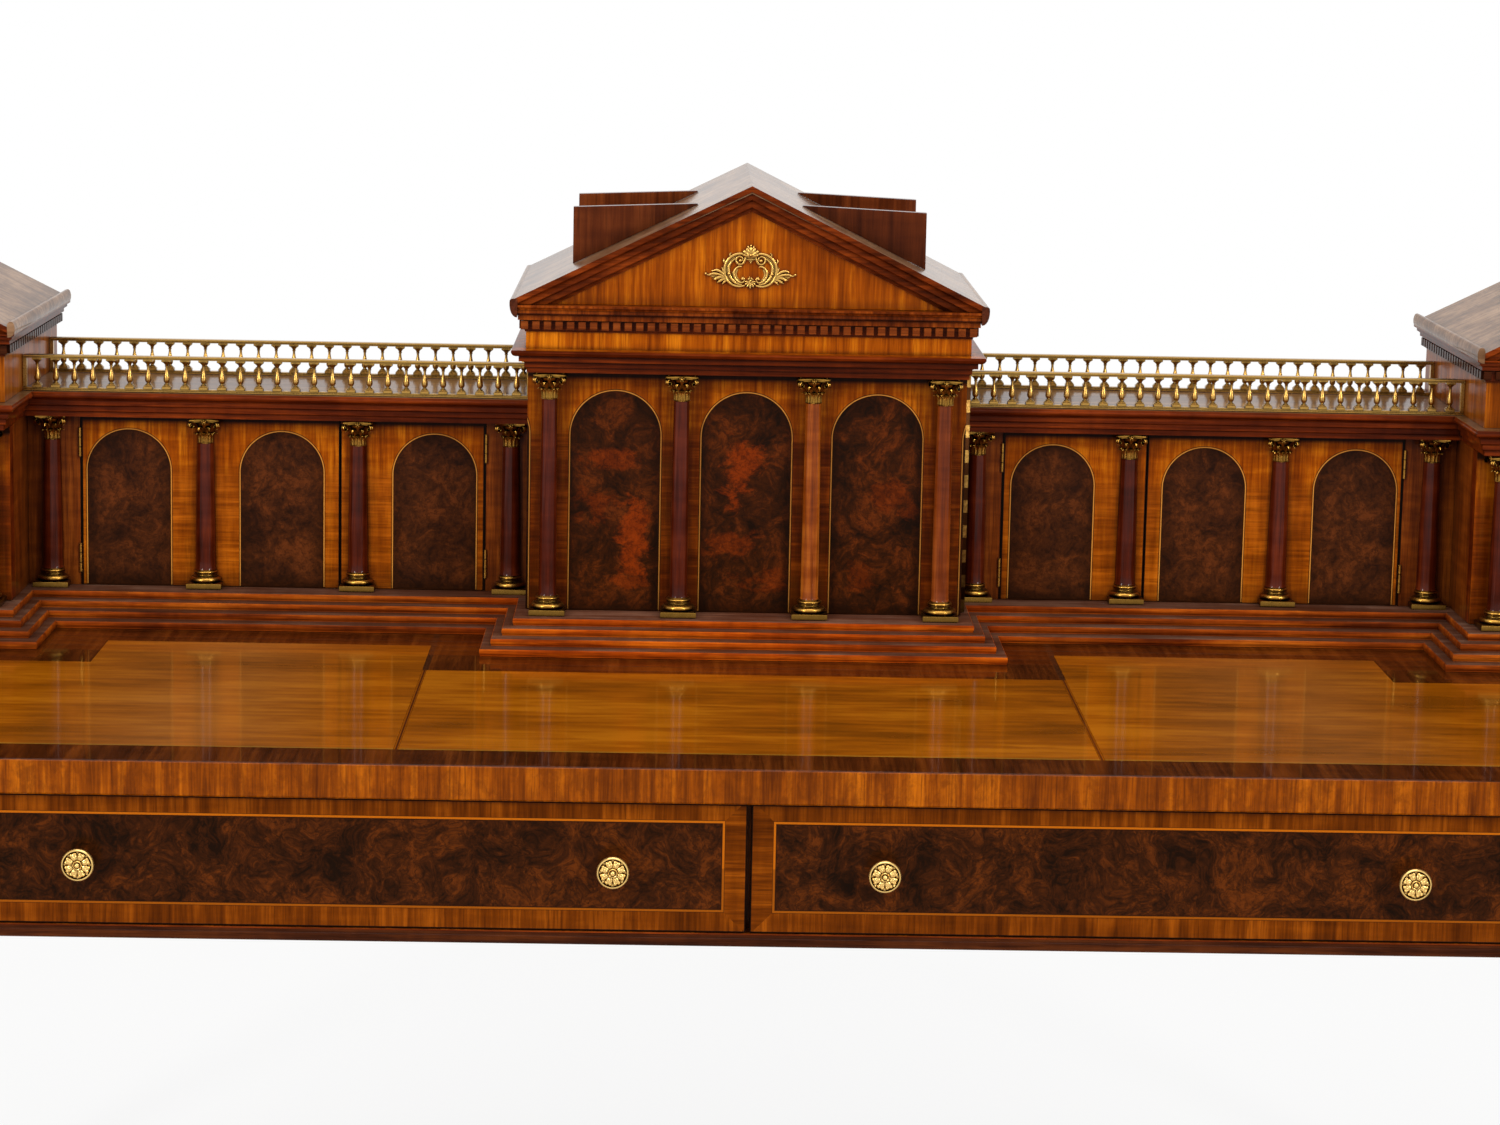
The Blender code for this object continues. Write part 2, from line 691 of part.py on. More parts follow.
def gable(middle, half, bottom, sink=0.0):
    ridge = bottom + EAVE + half * ROOF_PITCH
    return [
        (middle - half, bottom - sink), (middle + half, bottom - sink),
        (middle + half, bottom + EAVE), (middle, ridge), (middle - half, bottom + EAVE),
    ]


def tympanum(middle, half, bottom, drop=0.0):
    # The triangle inside the raking cornice, run down by the drop below the eaves.
    apex = bottom + EAVE + half * ROOF_PITCH - RAKE
    reach = (apex - bottom + drop) / ROOF_PITCH
    return [(middle - reach, bottom - drop), (middle + reach, bottom - drop), (middle, apex)]


def build_centre_roof():
    half = CENTRE_HALF + CENTRE_PROJECTION
    bottom = CENTRE_CORNICE_TOP + GAP
    front = PORTICO_FRIEZE - CENTRE_PROJECTION
    length = CENTRE_DEPTH + 2 * CENTRE_PROJECTION
    mesh = plate_mesh("centre_roof", [gable(0.0, half, bottom)], front, length)
    roof = add_piece("centre_roof", mesh, "dark mahogany")
    recess = plate_mesh("centre_tympanum", [tympanum(0.0, half, bottom, OVERRUN)], front - OVERRUN,
                        CENTRE_PROJECTION + OVERRUN)
    combine(roof, add_cutter("centre_tympanum", recess), "DIFFERENCE")


def build_attic_boards():
    ridge = CENTRE_CORNICE_TOP + GAP + EAVE + (CENTRE_HALF + CENTRE_PROJECTION) * ROOF_PITCH
    lift = GAP * math.hypot(1.0, ROOF_PITCH)
    tip = ridge - ATTIC_BOARD_TIP * ROOF_PITCH + lift
    foot = ridge - ATTIC_BOARD_REACH * ROOF_PITCH + lift
    outline = [
        (ATTIC_BOARD_TIP, tip), (ATTIC_BOARD_REACH, foot),
        (ATTIC_BOARD_REACH, tip - ATTIC_BOARD_FALL), (ATTIC_BOARD_TIP, tip + RUN),
    ]
    eave_front = PORTICO_FRIEZE - CENTRE_PROJECTION
    eave_back = CENTRE_BACK + CENTRE_PROJECTION
    rows = (
        ("front", eave_front + ATTIC_BOARD_FRONT - ATTIC_BOARD / 2),
        ("rear", eave_back - ATTIC_BOARD_BACK - ATTIC_BOARD / 2),
    )
    for side, label in ((-1, "left"), (1, "right")):
        corners = [(side * x, z) for x, z in outline]
        for row, front in rows:
            name = "attic_board_" + label + "_" + row
            add_piece(name, plate_mesh(name, [corners], front, ATTIC_BOARD), "red mahogany")


def build_cartouche():
    level = CENTRE_CORNICE_TOP + GAP + CARTOUCHE_RISE
    outer = []
    opening = []
    for index in range(CARTOUCHE_POINTS):
        angle = 2 * math.pi * index / CARTOUCHE_POINTS
        reach_x = CARTOUCHE_WIDTH / 2
        reach_z = CARTOUCHE_HEIGHT / 2
        body = CARTOUCHE_BODY_SHARE * reach_x
        wing = (reach_x - body) * abs(math.cos(angle)) ** 6
        crest = (reach_z - body) * abs(math.sin(angle)) ** 8
        lobe = CARTOUCHE_LOBE_SHARE * reach_x * (math.cos(CARTOUCHE_LOBES * angle) - 1.0)
        radius = body + wing + crest + lobe
        outer.append((radius * math.cos(angle), level + radius * math.sin(angle)))
        opening.append((
            CARTOUCHE_OPENING_WIDTH / 2 * math.cos(angle),
            level + CARTOUCHE_OPENING_HEIGHT / 2 * math.sin(angle),
        ))
    front = PORTICO_FRIEZE - GAP - CARTOUCHE_THICK
    add_piece("cartouche", plate_mesh("cartouche", [outer, opening[::2]], front, CARTOUCHE_THICK), "brass")


# Wings

def build_wing_carcase(side, label):
    name = label + "_wing_carcase"
    inner = CENTRE_HALF + GAP
    outer = END_INNER - GAP
    floor = TREAD + GAP
    head = WING_HEAD - GAP
    carcase = add_piece(name, box_mesh(name, *side_box(
        side, inner, outer, WING_FACE, WING_BACK, floor, head)), "gold mahogany")
    inside_front = WING_FACE + WING_DOOR + GAP
    opening = side_box(side, WING_STILE_IN, WING_STILE_OUT, WING_FACE - OVERRUN, inside_front,
                       floor - OVERRUN, head + OVERRUN)
    cut_box(carcase, "door_opening", *opening)
    stretches = (
        ("inner", inner + SIDE_WALL, DOOR_SPLIT - SHELF / 2),
        ("outer", DOOR_SPLIT + SHELF / 2, outer - SIDE_WALL),
    )
    for place, near, far in stretches:
        reach_in = max(near, WING_STILE_IN)
        reach_out = min(far, WING_STILE_OUT)
        store = side_box(side, near, far, inside_front, WING_BACK - BACK_WALL, floor + SHELF, head - SHELF)
        cut_box(carcase, place + "_store", *store)
        way = side_box(side, reach_in, reach_out, inside_front - OVERRUN, inside_front + OVERRUN,
                       floor + SHELF, head - SHELF)
        cut_box(carcase, place + "_way", *way)


def build_wing_doors(side, label, column):
    doors = (
        ("inner", WING_STILE_IN, WING_STILE_IN + BITE, DOOR_SPLIT - BITE, 1),
        ("outer", WING_STILE_OUT, DOOR_SPLIT + BITE, WING_STILE_OUT - BITE, 2),
    )
    for place, hinge_x, near, far, bay in doors:
        pivot = add_pivot(label + "_" + place + "_door_pivot",
                          (side * hinge_x, WING_FACE - BUTT_HINGE_PROUD, TREAD))
        name = label + "_wing_" + place + "_door"
        panel = side_box(side, near, far, WING_FACE, WING_FACE + WING_DOOR, TREAD + RUN, WING_HEAD - RUN)
        door = add_piece(name, box_mesh(name, *panel), "gold mahogany")
        attach(door, pivot)
        place_column(label + "_wing_column_" + str(bay + 1), column, side * (WING_COLUMN + bay * WING_BAY),
                     WING_FACE - WING_STANDOFF, TREAD + RUN, pivot)


def build_wing_fixed_columns(side, label, column):
    for bay in (0, WING_BAYS):
        place_column(label + "_wing_column_" + str(bay + 1), column, side * (WING_COLUMN + bay * WING_BAY),
                     WING_FACE - WING_STANDOFF, TREAD + GAP)


def build_cornice(side, label):
    inner = CENTRE_HALF + GAP
    outline = [
        (inner, WING_FRIEZE), (END_INNER, WING_FRIEZE), (END_INNER, PORTICO_FRIEZE),
        (END_OUTER, PORTICO_FRIEZE), (END_OUTER, END_BACK), (END_INNER, END_BACK),
        (END_INNER, WING_BACK), (inner, WING_BACK),
    ]
    skirts = [1] * (len(outline) - 1) + [0]
    rings = share_rings(CORNICE_SHARES, CORNICE_PROJECTION, WING_HEAD, CORNICE)
    corners, edge_skirts = on_side(side, outline, skirts)
    name = label + "_cornice"
    add_piece(name, moulded_mesh(name, corners, edge_skirts, rings), "red mahogany")


# Galleries

def baluster_row(length):
    foot = GALLERY_BASE_HIGH - BITE
    rise = GALLERY_HIGH - GALLERY_RAIL_HIGH + BITE - foot
    radius = BALUSTER_DIAMETER / 2
    profile = [(0.0, foot + rise)]
    profile += [(out * radius, foot + up * rise) for out, up in BALUSTER_SHARES]
    profile += [(0.0, foot)]
    single = baked(turned_object("baluster", profile, BALUSTER_SIDES))
    shape = bmesh.new()
    pitch = (length - 2 * GALLERY_POST) / BALUSTERS
    for index in range(BALUSTERS):
        x = GALLERY_POST + (index + 1 / 2) * pitch - length / 2
        first = len(shape.verts)
        shape.from_mesh(single)
        shape.verts.ensure_lookup_table()
        bmesh.ops.translate(shape, verts=shape.verts[first:], vec=(x, 0.0, 0.0))
    row = bpy.data.meshes.new("balusters")
    shape.to_mesh(row)
    shape.free()
    return row


def gallery_mesh(length):
    half = length / 2
    rail = GALLERY_RAIL / 2
    post = GALLERY_POST / 2
    pattern = add_cutter("gallery", box_mesh("gallery", (-half, -rail, 0.0), (half, rail, GALLERY_BASE_HIGH)))
    combine(pattern, add_cutter("balusters", baluster_row(length)), "UNION")
    join_box(pattern, "rail", (-half, -rail, GALLERY_HIGH - GALLERY_RAIL_HIGH), (half, rail, GALLERY_HIGH))
    foot = GALLERY_BASE_HIGH - BITE
    head = GALLERY_HIGH - GALLERY_RAIL_HIGH + BITE
    for end, place in ((-1, "left"), (1, "right")):
        low, high = span(end, half - GALLERY_POST, half)
        join_box(pattern, place + "_post", (low, -post, foot), (high, post, head))
    return baked(pattern)


def build_galleries(side, label, gallery):
    middle = side * (CENTRE_HALF + END_INNER) / 2
    rows = (
        ("front", WING_FRIEZE - CORNICE_PROJECTION + GALLERY_FRONT_INSET),
        ("rear", WING_BACK + CORNICE_PROJECTION - GALLERY_REAR_INSET),
    )
    for row, depth in rows:
        add_piece(label + "_gallery_" + row, gallery, "brass", (middle, depth, DECK + GAP))


# End pavilions

def build_end_pavilion(side, label, column):
    door_back = PORTICO_FACE + PORTICO_DOOR
    front = door_back + GAP
    floor = TREAD + GAP
    head = WING_HEAD - GAP
    name = label + "_end_carcase"
    carcase = add_piece(name, box_mesh(name, *side_box(
        side, END_INNER, END_OUTER, front, END_BACK, floor, head)), "gold mahogany")
    store = side_box(side, END_INNER + SIDE_WALL, END_OUTER - SIDE_WALL, front - OVERRUN,
                     END_BACK - BACK_WALL, floor + SHELF, head - SHELF)
    cut_box(carcase, "store", *store)

    pivot = add_pivot(label + "_end_door_pivot",
                      (side * (END_OUTER + GAP + HINGE_KNUCKLE / 2), door_back + GAP / 2, TREAD))
    name = label + "_end_door"
    panel = side_box(side, END_INNER, END_OUTER, PORTICO_FACE, door_back, TREAD + RUN, WING_HEAD - RUN)
    door = add_piece(name, box_mesh(name, *panel), "gold mahogany")
    attach(door, pivot)
    for index in range(END_BAYS + 1):
        x = END_INNER + CORNER_MARGIN + index * CENTRE_BAY
        place_column(label + "_end_column_" + str(index + 1), column, side * x,
                     PORTICO_FACE - PORTICO_STANDOFF, TREAD + RUN, pivot)


def build_end_roof(side, label):
    low, high = span(side, END_INNER, END_OUTER)
    bottom = DECK + GAP
    wall = PORTICO_FRIEZE + END_ATTIC_INSET
    outline = rectangle(low, high, wall, END_BACK)
    rings = share_rings(END_ATTIC_SHARES, END_PROJECTION, bottom, END_ATTIC)
    name = label + "_end_roof"
    roof = add_piece(name, moulded_mesh(name, outline, [1] * 4, rings), "gold mahogany")
    half = END_WIDTH / 2 + END_PROJECTION
    middle = side * END_MIDDLE
    eave = bottom + END_ATTIC
    front = wall - END_PROJECTION
    length = END_BACK - wall + 2 * END_PROJECTION
    prism = plate_mesh(name + "_gable", [gable(middle, half, eave, BITE)], front, length)
    combine(roof, add_cutter(name + "_gable", prism), "UNION")
    recess = plate_mesh(name + "_tympanum", [tympanum(middle, half, eave)], front - OVERRUN,
                        END_PROJECTION + OVERRUN)
    combine(roof, add_cutter(name + "_tympanum", recess), "DIFFERENCE")


# Assembly

def build_desk():
    build_top()
    build_apron()
    build_legs()
    knob = knob_mesh()
    for side, label in ((-1, "left"), (1, "right")):
        build_drawer(side, label, knob)
    build_platform()
    build_centre_carcase()
    build_centre_door(portico_column_mesh(CENTRE_ORDER - RUN - COLUMN_HEADROOM))
    build_centre_entablature()
    build_centre_roof()
    build_attic_boards()
    build_cartouche()
    hung_height = WING_ORDER - RUN - COLUMN_HEADROOM
    end_column = portico_column_mesh(hung_height)
    hung_column = wing_column_mesh(hung_height)
    fixed_column = wing_column_mesh(WING_ORDER - 2 * GAP)
    gallery = gallery_mesh(END_INNER - CENTRE_HALF - 2 * GAP)
    for side, label in ((-1, "left"), (1, "right")):
        build_wing_carcase(side, label)
        build_wing_doors(side, label, hung_column)
        build_wing_fixed_columns(side, label, fixed_column)
        build_cornice(side, label)
        build_galleries(side, label, gallery)
        build_end_pavilion(side, label, end_column)
        build_end_roof(side, label)


build_desk()
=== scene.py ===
import json
import math

import bmesh
import bpy
from mathutils import Matrix, Vector


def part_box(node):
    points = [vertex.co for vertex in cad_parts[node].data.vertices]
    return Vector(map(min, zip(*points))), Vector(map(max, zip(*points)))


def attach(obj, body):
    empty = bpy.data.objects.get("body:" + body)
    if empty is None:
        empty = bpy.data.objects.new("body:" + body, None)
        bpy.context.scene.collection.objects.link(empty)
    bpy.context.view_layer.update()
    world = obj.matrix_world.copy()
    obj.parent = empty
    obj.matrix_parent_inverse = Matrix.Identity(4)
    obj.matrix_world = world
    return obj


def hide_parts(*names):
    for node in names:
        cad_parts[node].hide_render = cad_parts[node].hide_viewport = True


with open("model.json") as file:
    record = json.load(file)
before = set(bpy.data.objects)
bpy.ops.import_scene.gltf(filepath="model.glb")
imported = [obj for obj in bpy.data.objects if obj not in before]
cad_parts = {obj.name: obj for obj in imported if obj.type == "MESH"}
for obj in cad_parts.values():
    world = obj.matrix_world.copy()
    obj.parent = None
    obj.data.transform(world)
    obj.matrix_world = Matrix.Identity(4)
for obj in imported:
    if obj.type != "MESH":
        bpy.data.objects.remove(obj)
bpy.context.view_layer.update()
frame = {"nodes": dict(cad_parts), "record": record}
NODES = frame["nodes"]
MM = 0.001
SIDES = ((-1, "left"), (1, "right"))

# Sizes shared with the CAD, in metres
CENTRE_OVERHANG = 0.016
END_OVERHANG = 0.0125
JOINT = 0.0003
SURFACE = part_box("leather_centre")[1].z
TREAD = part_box("steps_platform")[1].z
CENTRE_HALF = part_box("centre_door")[1].x
END_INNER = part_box("right_end_door")[0].x
END_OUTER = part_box("right_end_door")[1].x
PORTICO_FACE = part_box("centre_door")[0].y
WING_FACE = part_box("right_wing_carcase")[0].y
PORTICO_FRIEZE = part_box("centre_entablature")[0].y + CENTRE_OVERHANG
CENTRE_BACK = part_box("centre_carcase")[1].y
WING_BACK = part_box("right_wing_carcase")[1].y
END_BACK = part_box("right_end_carcase")[1].y
CENTRE_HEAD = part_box("centre_entablature")[0].z
CORNICE_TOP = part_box("centre_entablature")[1].z
WING_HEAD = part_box("right_cornice")[0].z
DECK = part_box("right_cornice")[1].z
WING_FRIEZE = WING_FACE - 0.0185
APRON_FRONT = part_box("apron_frame")[0].y
APRON_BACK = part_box("apron_frame")[1].y
APRON_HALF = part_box("apron_frame")[1].x
APRON_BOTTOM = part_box("apron_frame")[0].z
APRON_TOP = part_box("apron_frame")[1].z
CENTRE_BAY = 0.1325
WING_BAY = 0.1582
END_BAY = 0.4
FIRST_WING_ARCH = 0.32135
ARCH_FOOT = TREAD + 0.0015
CENTRE_ARCH_TOP = SURFACE + 0.2570
WING_ARCH_TOP = SURFACE + 0.1925 + 0.0028
CENTRE_ARCH_HALF = 0.0453
WING_ARCH_HALF = 0.04275
LEATHER_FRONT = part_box("leather_centre")[0].y
LEATHER_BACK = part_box("leather_centre")[1].y
LEATHER_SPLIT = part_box("leather_centre")[1].x
WING_DOORS_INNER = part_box("right_wing_inner_door")[0].x
WING_DOORS_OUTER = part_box("right_wing_outer_door")[1].x
DOOR_SPLIT = (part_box("right_wing_inner_door")[1].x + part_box("right_wing_outer_door")[0].x) / 2


# Meshes

class Shape:
    """Points and faces of one piece, gathered part by part."""

    def __init__(self):
        self.points = []
        self.faces = []

    def add(self, points, faces, place=None):
        base = len(self.points)
        if place is not None:
            points = [place @ Vector(point) for point in points]
        self.points += [tuple(point) for point in points]
        self.faces += [tuple(base + index for index in face) for face in faces]

    def loft(self, rings, place=None, closed=False):
        # Closed rings join the last to the first; otherwise both ends get a lid.
        count = len(rings[0])
        total = count * len(rings)
        faces = [] if closed else [tuple(reversed(range(count)))]
        for low in range(0, total if closed else total - count, count):
            high = (low + count) % total
            for index in range(count):
                after = (index + 1) % count
                faces.append((low + index, low + after, high + after, high + index))
        if not closed:
            faces.append(tuple(range(total - count, total)))
        self.add([point for ring in rings for point in ring], faces, place)

    def turned(self, profile, sides, place=None, half_back=None):
        # Profile of (radius, level) from the bottom up; half_back keeps only the front half.
        rings = []
        for radius, level in profile:
            if half_back is None:
                angles = [2 * math.pi * step / sides for step in range(sides)]
            else:
                angles = [math.pi + math.pi * step / sides for step in range(sides + 1)]
            ring = [(radius * math.cos(angle), radius * math.sin(angle), level) for angle in angles]
            if half_back is not None:
                ring = [(-radius, half_back, level), *ring, (radius, half_back, level)]
            rings.append(ring)
        self.loft(rings, place)

    def box(self, low, high, ease, place=None):
        # A block with all its edges eased.
        low = Vector(low)
        high = Vector(high)
        rings = []
        for inset, level in ((ease, low.z), (0.0, low.z + ease), (0.0, high.z - ease), (ease, high.z)):
            x0, x1 = low.x + inset, high.x - inset
            y0, y1 = low.y + inset, high.y - inset
            ring = [(x0 + ease, y0), (x1 - ease, y0), (x1, y0 + ease), (x1, y1 - ease),
                    (x1 - ease, y1), (x0 + ease, y1), (x0, y1 - ease), (x0, y0 + ease)]
            rings.append([(x, y, level) for x, y in ring])
        self.loft(rings, place)

    def tube(self, path, sizes, normal, sides, place=None):
        # Path in a plane with that normal; sizes are (half width in the plane, half depth along the normal).
        normal = Vector(normal)
        rings = []
        path = [Vector(point) for point in path]
        for index, point in enumerate(path):
            before = path[max(index - 1, 0)]
            after = path[min(index + 1, len(path) - 1)]
            across = (after - before).normalized().cross(normal)
            wide, deep = sizes[index]
            ring = []
            for step in range(sides):
                angle = 2 * math.pi * (step + 0.5) / sides
                ring.append(point + across * wide * math.cos(angle) + normal * deep * math.sin(angle))
            rings.append(ring)
        self.loft(rings, place)

    def ball(self, middle, radii, rows, sides, place=None):
        angles = [math.pi * row / rows for row in range(1, rows)]
        scaled = Matrix.Translation(middle) @ Matrix.Diagonal((*radii, 1.0))
        if place is not None:
            scaled = place @ scaled
        self.turned([(math.sin(angle), -math.cos(angle)) for angle in angles], sides, scaled)

    def mesh(self, name, angle):
        mesh = bpy.data.meshes.new(name)
        mesh.from_pydata(self.points, [], self.faces)
        work = bmesh.new()
        work.from_mesh(mesh)
        bmesh.ops.recalc_face_normals(work, faces=work.faces)
        work.to_mesh(mesh)
        work.free()
        mesh.shade_smooth()
        mesh.set_sharp_from_angle(angle=math.radians(angle))
        return mesh


def mm(*values):
    return tuple(value * MM for value in values)


def lifted(profile, bottom=0.0, scale=1.0):
    # A profile in millimetres, placed at a level.
    return [(out * MM, bottom + up * MM * scale) for out, up in profile]


def rectangle(left, right, front, back):
    return [(left, front), (right, front), (right, back), (left, back)]


def smooth_path(points, steps):
    # Catmull-Rom curve through the points; every point is a tuple of any length.
    curve = []
    last = len(points) - 1
    for index in range(last):
        corners = [points[max(index - 1, 0)], points[index], points[index + 1], points[min(index + 2, last)]]
        for step in range(steps):
            t = step / steps
            curve.append(tuple(
                0.5 * (2 * q + (r - p) * t + (2 * p - 5 * q + 4 * r - s) * t * t
                       + (3 * q - p - 3 * r + s) * t ** 3)
                for p, q, r, s in zip(*corners)))
    curve.append(tuple(points[last]))
    return curve


def grown(outline, distance, skirts=None):
    # The outline moved outwards; skirts are each edge's share of the distance.
    corners = []
    for index, corner in enumerate(outline):
        here = Vector(corner)
        before = (here - Vector(outline[index - 1])).normalized()
        after = (Vector(outline[(index + 1) % len(outline)]) - here).normalized()
        share_before = skirts[index - 1] if skirts else 1
        share_after = skirts[index] if skirts else 1
        move = Vector((before.y, -before.x)) * share_before + Vector((after.y, -after.x)) * share_after
        corners.append(here + move * distance)
    return corners


def swept(shape, outline, profile, skirts=None, closed=False):
    # A moulding round a plan outline: profile of (projection, level) from the bottom up.
    rings = [[(x, y, level) for x, y in grown(outline, out, skirts)] for out, level in profile]
    shape.loft(rings, None, closed)


def clipped(outline, back):
    # The part of a plan outline that lies in front of a depth.
    kept = []
    for index, (x, y) in enumerate(outline):
        px, py = outline[index - 1]
        if (py <= back) != (y <= back):
            share = (back - py) / (y - py)
            kept.append((px + (x - px) * share, back))
        if y <= back:
            kept.append((x, y))
    return kept


def arc(middle_out, middle_up, radius_out, radius_up, start, end, steps):
    points = []
    for step in range(steps + 1):
        angle = math.radians(start + (end - start) * step / steps)
        points.append((middle_out + radius_out * math.cos(angle), middle_up + radius_up * math.sin(angle)))
    return points


# Materials

def srgb(red, green, blue):
    linear = []
    for value in (red, green, blue):
        value /= 255
        linear.append(value / 12.92 if value <= 0.04045 else ((value + 0.055) / 1.055) ** 2.4)
    return (*linear, 1.0)


def tones(*values):
    # Dark, middle and light tone of a wood, three sRGB values each.
    return tuple(srgb(*values[start:start + 3]) for start in (0, 3, 6))


def cube(value):
    return (value, value, value)


class Graph:
    """Shader nodes under construction."""

    def __init__(self, tree):
        self.tree = tree

    def node(self, kind, inputs=None, **settings):
        node = self.tree.nodes.new(kind)
        for key, value in settings.items():
            setattr(node, key, value)
        for key, value in (inputs or {}).items():
            self.feed(node.inputs[key], value)
        return node

    def feed(self, socket, value):
        if isinstance(value, bpy.types.NodeSocket):
            self.tree.links.new(value, socket)
        else:
            socket.default_value = value

    def math(self, operation, *values):
        return self.node("ShaderNodeMath", dict(enumerate(values)), operation=operation).outputs[0]

    def plus(self, first, second):
        return self.math("ADD", first, second)

    def minus(self, first, second):
        return self.math("SUBTRACT", first, second)

    def times(self, first, second):
        return self.math("MULTIPLY", first, second)

    def least(self, first, second):
        return self.math("MINIMUM", first, second)

    def most(self, first, second):
        return self.math("MAXIMUM", first, second)

    def inverse(self, value):
        return self.minus(1.0, value)

    def length(self, first, second):
        return self.math("SQRT", self.plus(self.times(first, first), self.times(second, second)))

    def mix(self, factor, first, second):
        return self.node("ShaderNodeMix", {0: factor, 6: first, 7: second}, data_type="RGBA").outputs[2]

    def tint(self, colour, share, strength, tone):
        return self.mix(self.times(share, strength), colour, tone)

    def blend(self, factor, first, second):
        return self.node("ShaderNodeMix", {0: factor, 2: first, 3: second}, data_type="FLOAT").outputs[0]

    def rise(self, value, low, high):
        # 0 at the first edge and 1 at the second, held beyond them.
        return self.node("ShaderNodeMapRange", {"Value": value, "From Min": low, "From Max": high}).outputs[0]

    def step(self, value, edge, soft=0.0003):
        # 0 below the edge and 1 above it, over a soft width.
        return self.rise(value, edge - soft, edge + soft)

    def window(self, value, low, high, soft=0.0003):
        return self.times(self.step(value, low, soft), self.inverse(self.step(value, high, soft)))

    def ramp(self, factor, places, colours):
        node = self.node("ShaderNodeValToRGB", {0: factor})
        elements = node.color_ramp.elements
        while len(elements) < len(places):
            elements.new(0.5)
        for element, place, colour in zip(elements, places, colours):
            element.position = place
            element.color = colour
        return node.outputs[0]


class Net(Graph):
    """A material with one Principled shader, laid out in the object's own coordinates."""

    def __init__(self, name):
        self.material = bpy.data.materials.new(name)
        self.material.use_nodes = True
        super().__init__(self.material.node_tree)
        self.shader = self.tree.nodes["Principled BSDF"]
        self.coords = self.node("ShaderNodeTexCoord").outputs["Object"]
        self.x, self.y, self.z = self.node("ShaderNodeSeparateXYZ", {0: self.coords}).outputs

    @property
    def aside(self):
        # Distance from the desk's middle plane.
        return self.math("ABSOLUTE", self.x)

    def stretched(self, scale, shift=(0.0, 0.0, 0.0)):
        inputs = {"Vector": self.coords, "Scale": scale, "Location": shift}
        return self.node("ShaderNodeMapping", inputs).outputs[0]

    def warped(self, vector, scale, amount):
        inputs = {"Vector": vector, "Scale": scale, "Detail": 2.0}
        cloud = self.node("ShaderNodeTexNoise", inputs).outputs["Color"]
        moved = self.node("ShaderNodeVectorMath", {0: cloud, 1: cube(0.5)}, operation="SUBTRACT").outputs[0]
        moved = self.node("ShaderNodeVectorMath", {0: moved, "Scale": amount}, operation="SCALE").outputs[0]
        return self.node("ShaderNodeVectorMath", {0: vector, 1: moved}, operation="ADD").outputs[0]

    def noise(self, vector, scale=1.0, detail=4.0, rough=0.55, distortion=0.0):
        return self.node("ShaderNodeTexNoise", {
            "Vector": vector, "Scale": scale, "Detail": detail, "Roughness": rough,
            "Distortion": distortion}).outputs["Fac"]

    def facing_up(self, low, high):
        normal = self.node("ShaderNodeNewGeometry").outputs["Normal"]
        return self.rise(self.node("ShaderNodeSeparateXYZ", {0: normal}).outputs[2], low, high)

    def openness(self, reach, power, samples=6, own=True):
        near = self.node("ShaderNodeAmbientOcclusion", {"Distance": reach}, samples=samples, only_local=own)
        return self.math("POWER", near.outputs["AO"], power)

    def crease_shade(self, colour, reach=0.004, depth=0.75):
        # Painted shade in the creases of mouldings and carving.
        return self.tint(colour, self.inverse(self.openness(reach, 2.2)), depth, (0.012, 0.004, 0.002, 1.0))

    def shaded(self, colour, reach=0.016, depth=0.6):
        # Painted shade where pieces meet, as behind the columns and under the mouldings.
        closed = self.inverse(self.openness(reach, 1.4, own=False))
        return self.tint(colour, closed, depth, (0.010, 0.003, 0.001, 1.0))

    def finish(self, colour, roughness, bump=None, bump_size=0.0001, strength=0.3, coat=0.0,
               coat_roughness=0.08, coat_ior=1.13, metallic=0.0):
        values = {"Base Color": colour, "Roughness": roughness, "Metallic": metallic, "Coat Weight": coat,
                  "Coat Roughness": coat_roughness, "Coat IOR": coat_ior, "Specular IOR Level": 0.02}
        if bump is not None:
            inputs = {"Height": bump, "Distance": bump_size, "Strength": strength}
            values["Normal"] = self.node("ShaderNodeBump", inputs).outputs[0]
        for key, value in values.items():
            self.feed(self.shader.inputs[key], value)
        return self.material


GOLD = tones(104, 40, 0, 154, 72, 2, 206, 116, 14)
EDGE_GOLD = tones(80, 32, 0, 132, 61, 0, 176, 92, 6)
BAND = tones(66, 26, 0, 102, 45, 1, 142, 70, 6)
STILE = tones(58, 18, 0, 98, 35, 2, 150, 66, 6)
WING_STILE = tones(84, 34, 2, 142, 68, 6, 190, 100, 16)
RED = tones(54, 14, 2, 96, 34, 6, 138, 56, 11)
DARK = tones(46, 10, 2, 74, 22, 6, 102, 38, 13)
BURR = tones(24, 11, 4, 57, 25, 6, 96, 42, 11)
WING_BURR = tones(42, 20, 10, 70, 34, 14, 98, 48, 19)
DRAWER_BURR = tones(24, 10, 3, 57, 25, 6, 90, 41, 9)
CORONA = tones(62, 20, 2, 112, 46, 8, 156, 74, 16)
DRIP_SHADE = tones(34, 10, 3, 52, 18, 6, 76, 28, 8)
FRIEZE_GOLD = tones(112, 44, 0, 172, 82, 3, 226, 130, 16)
ATTIC_GOLD = tones(84, 34, 2, 132, 62, 5, 178, 100, 18)
TYMPANUM_GOLD = tones(98, 38, 0, 146, 67, 2, 196, 108, 12)
RAKE_RED = tones(54, 17, 3, 100, 38, 8, 140, 60, 15)
STEP_RED = tones(82, 26, 3, 144, 60, 9, 188, 94, 20)
STEP_BRIGHT = tones(96, 28, 2, 168, 66, 6, 214, 102, 16)
STEP_DUST_AND_SHEEN = tones(42, 26, 18, 68, 46, 36, 98, 74, 60)
PALE_ROOF = tones(80, 52, 32, 120, 88, 62, 158, 124, 94)
EAVE_END = tones(44, 18, 8, 82, 38, 20, 118, 62, 38)
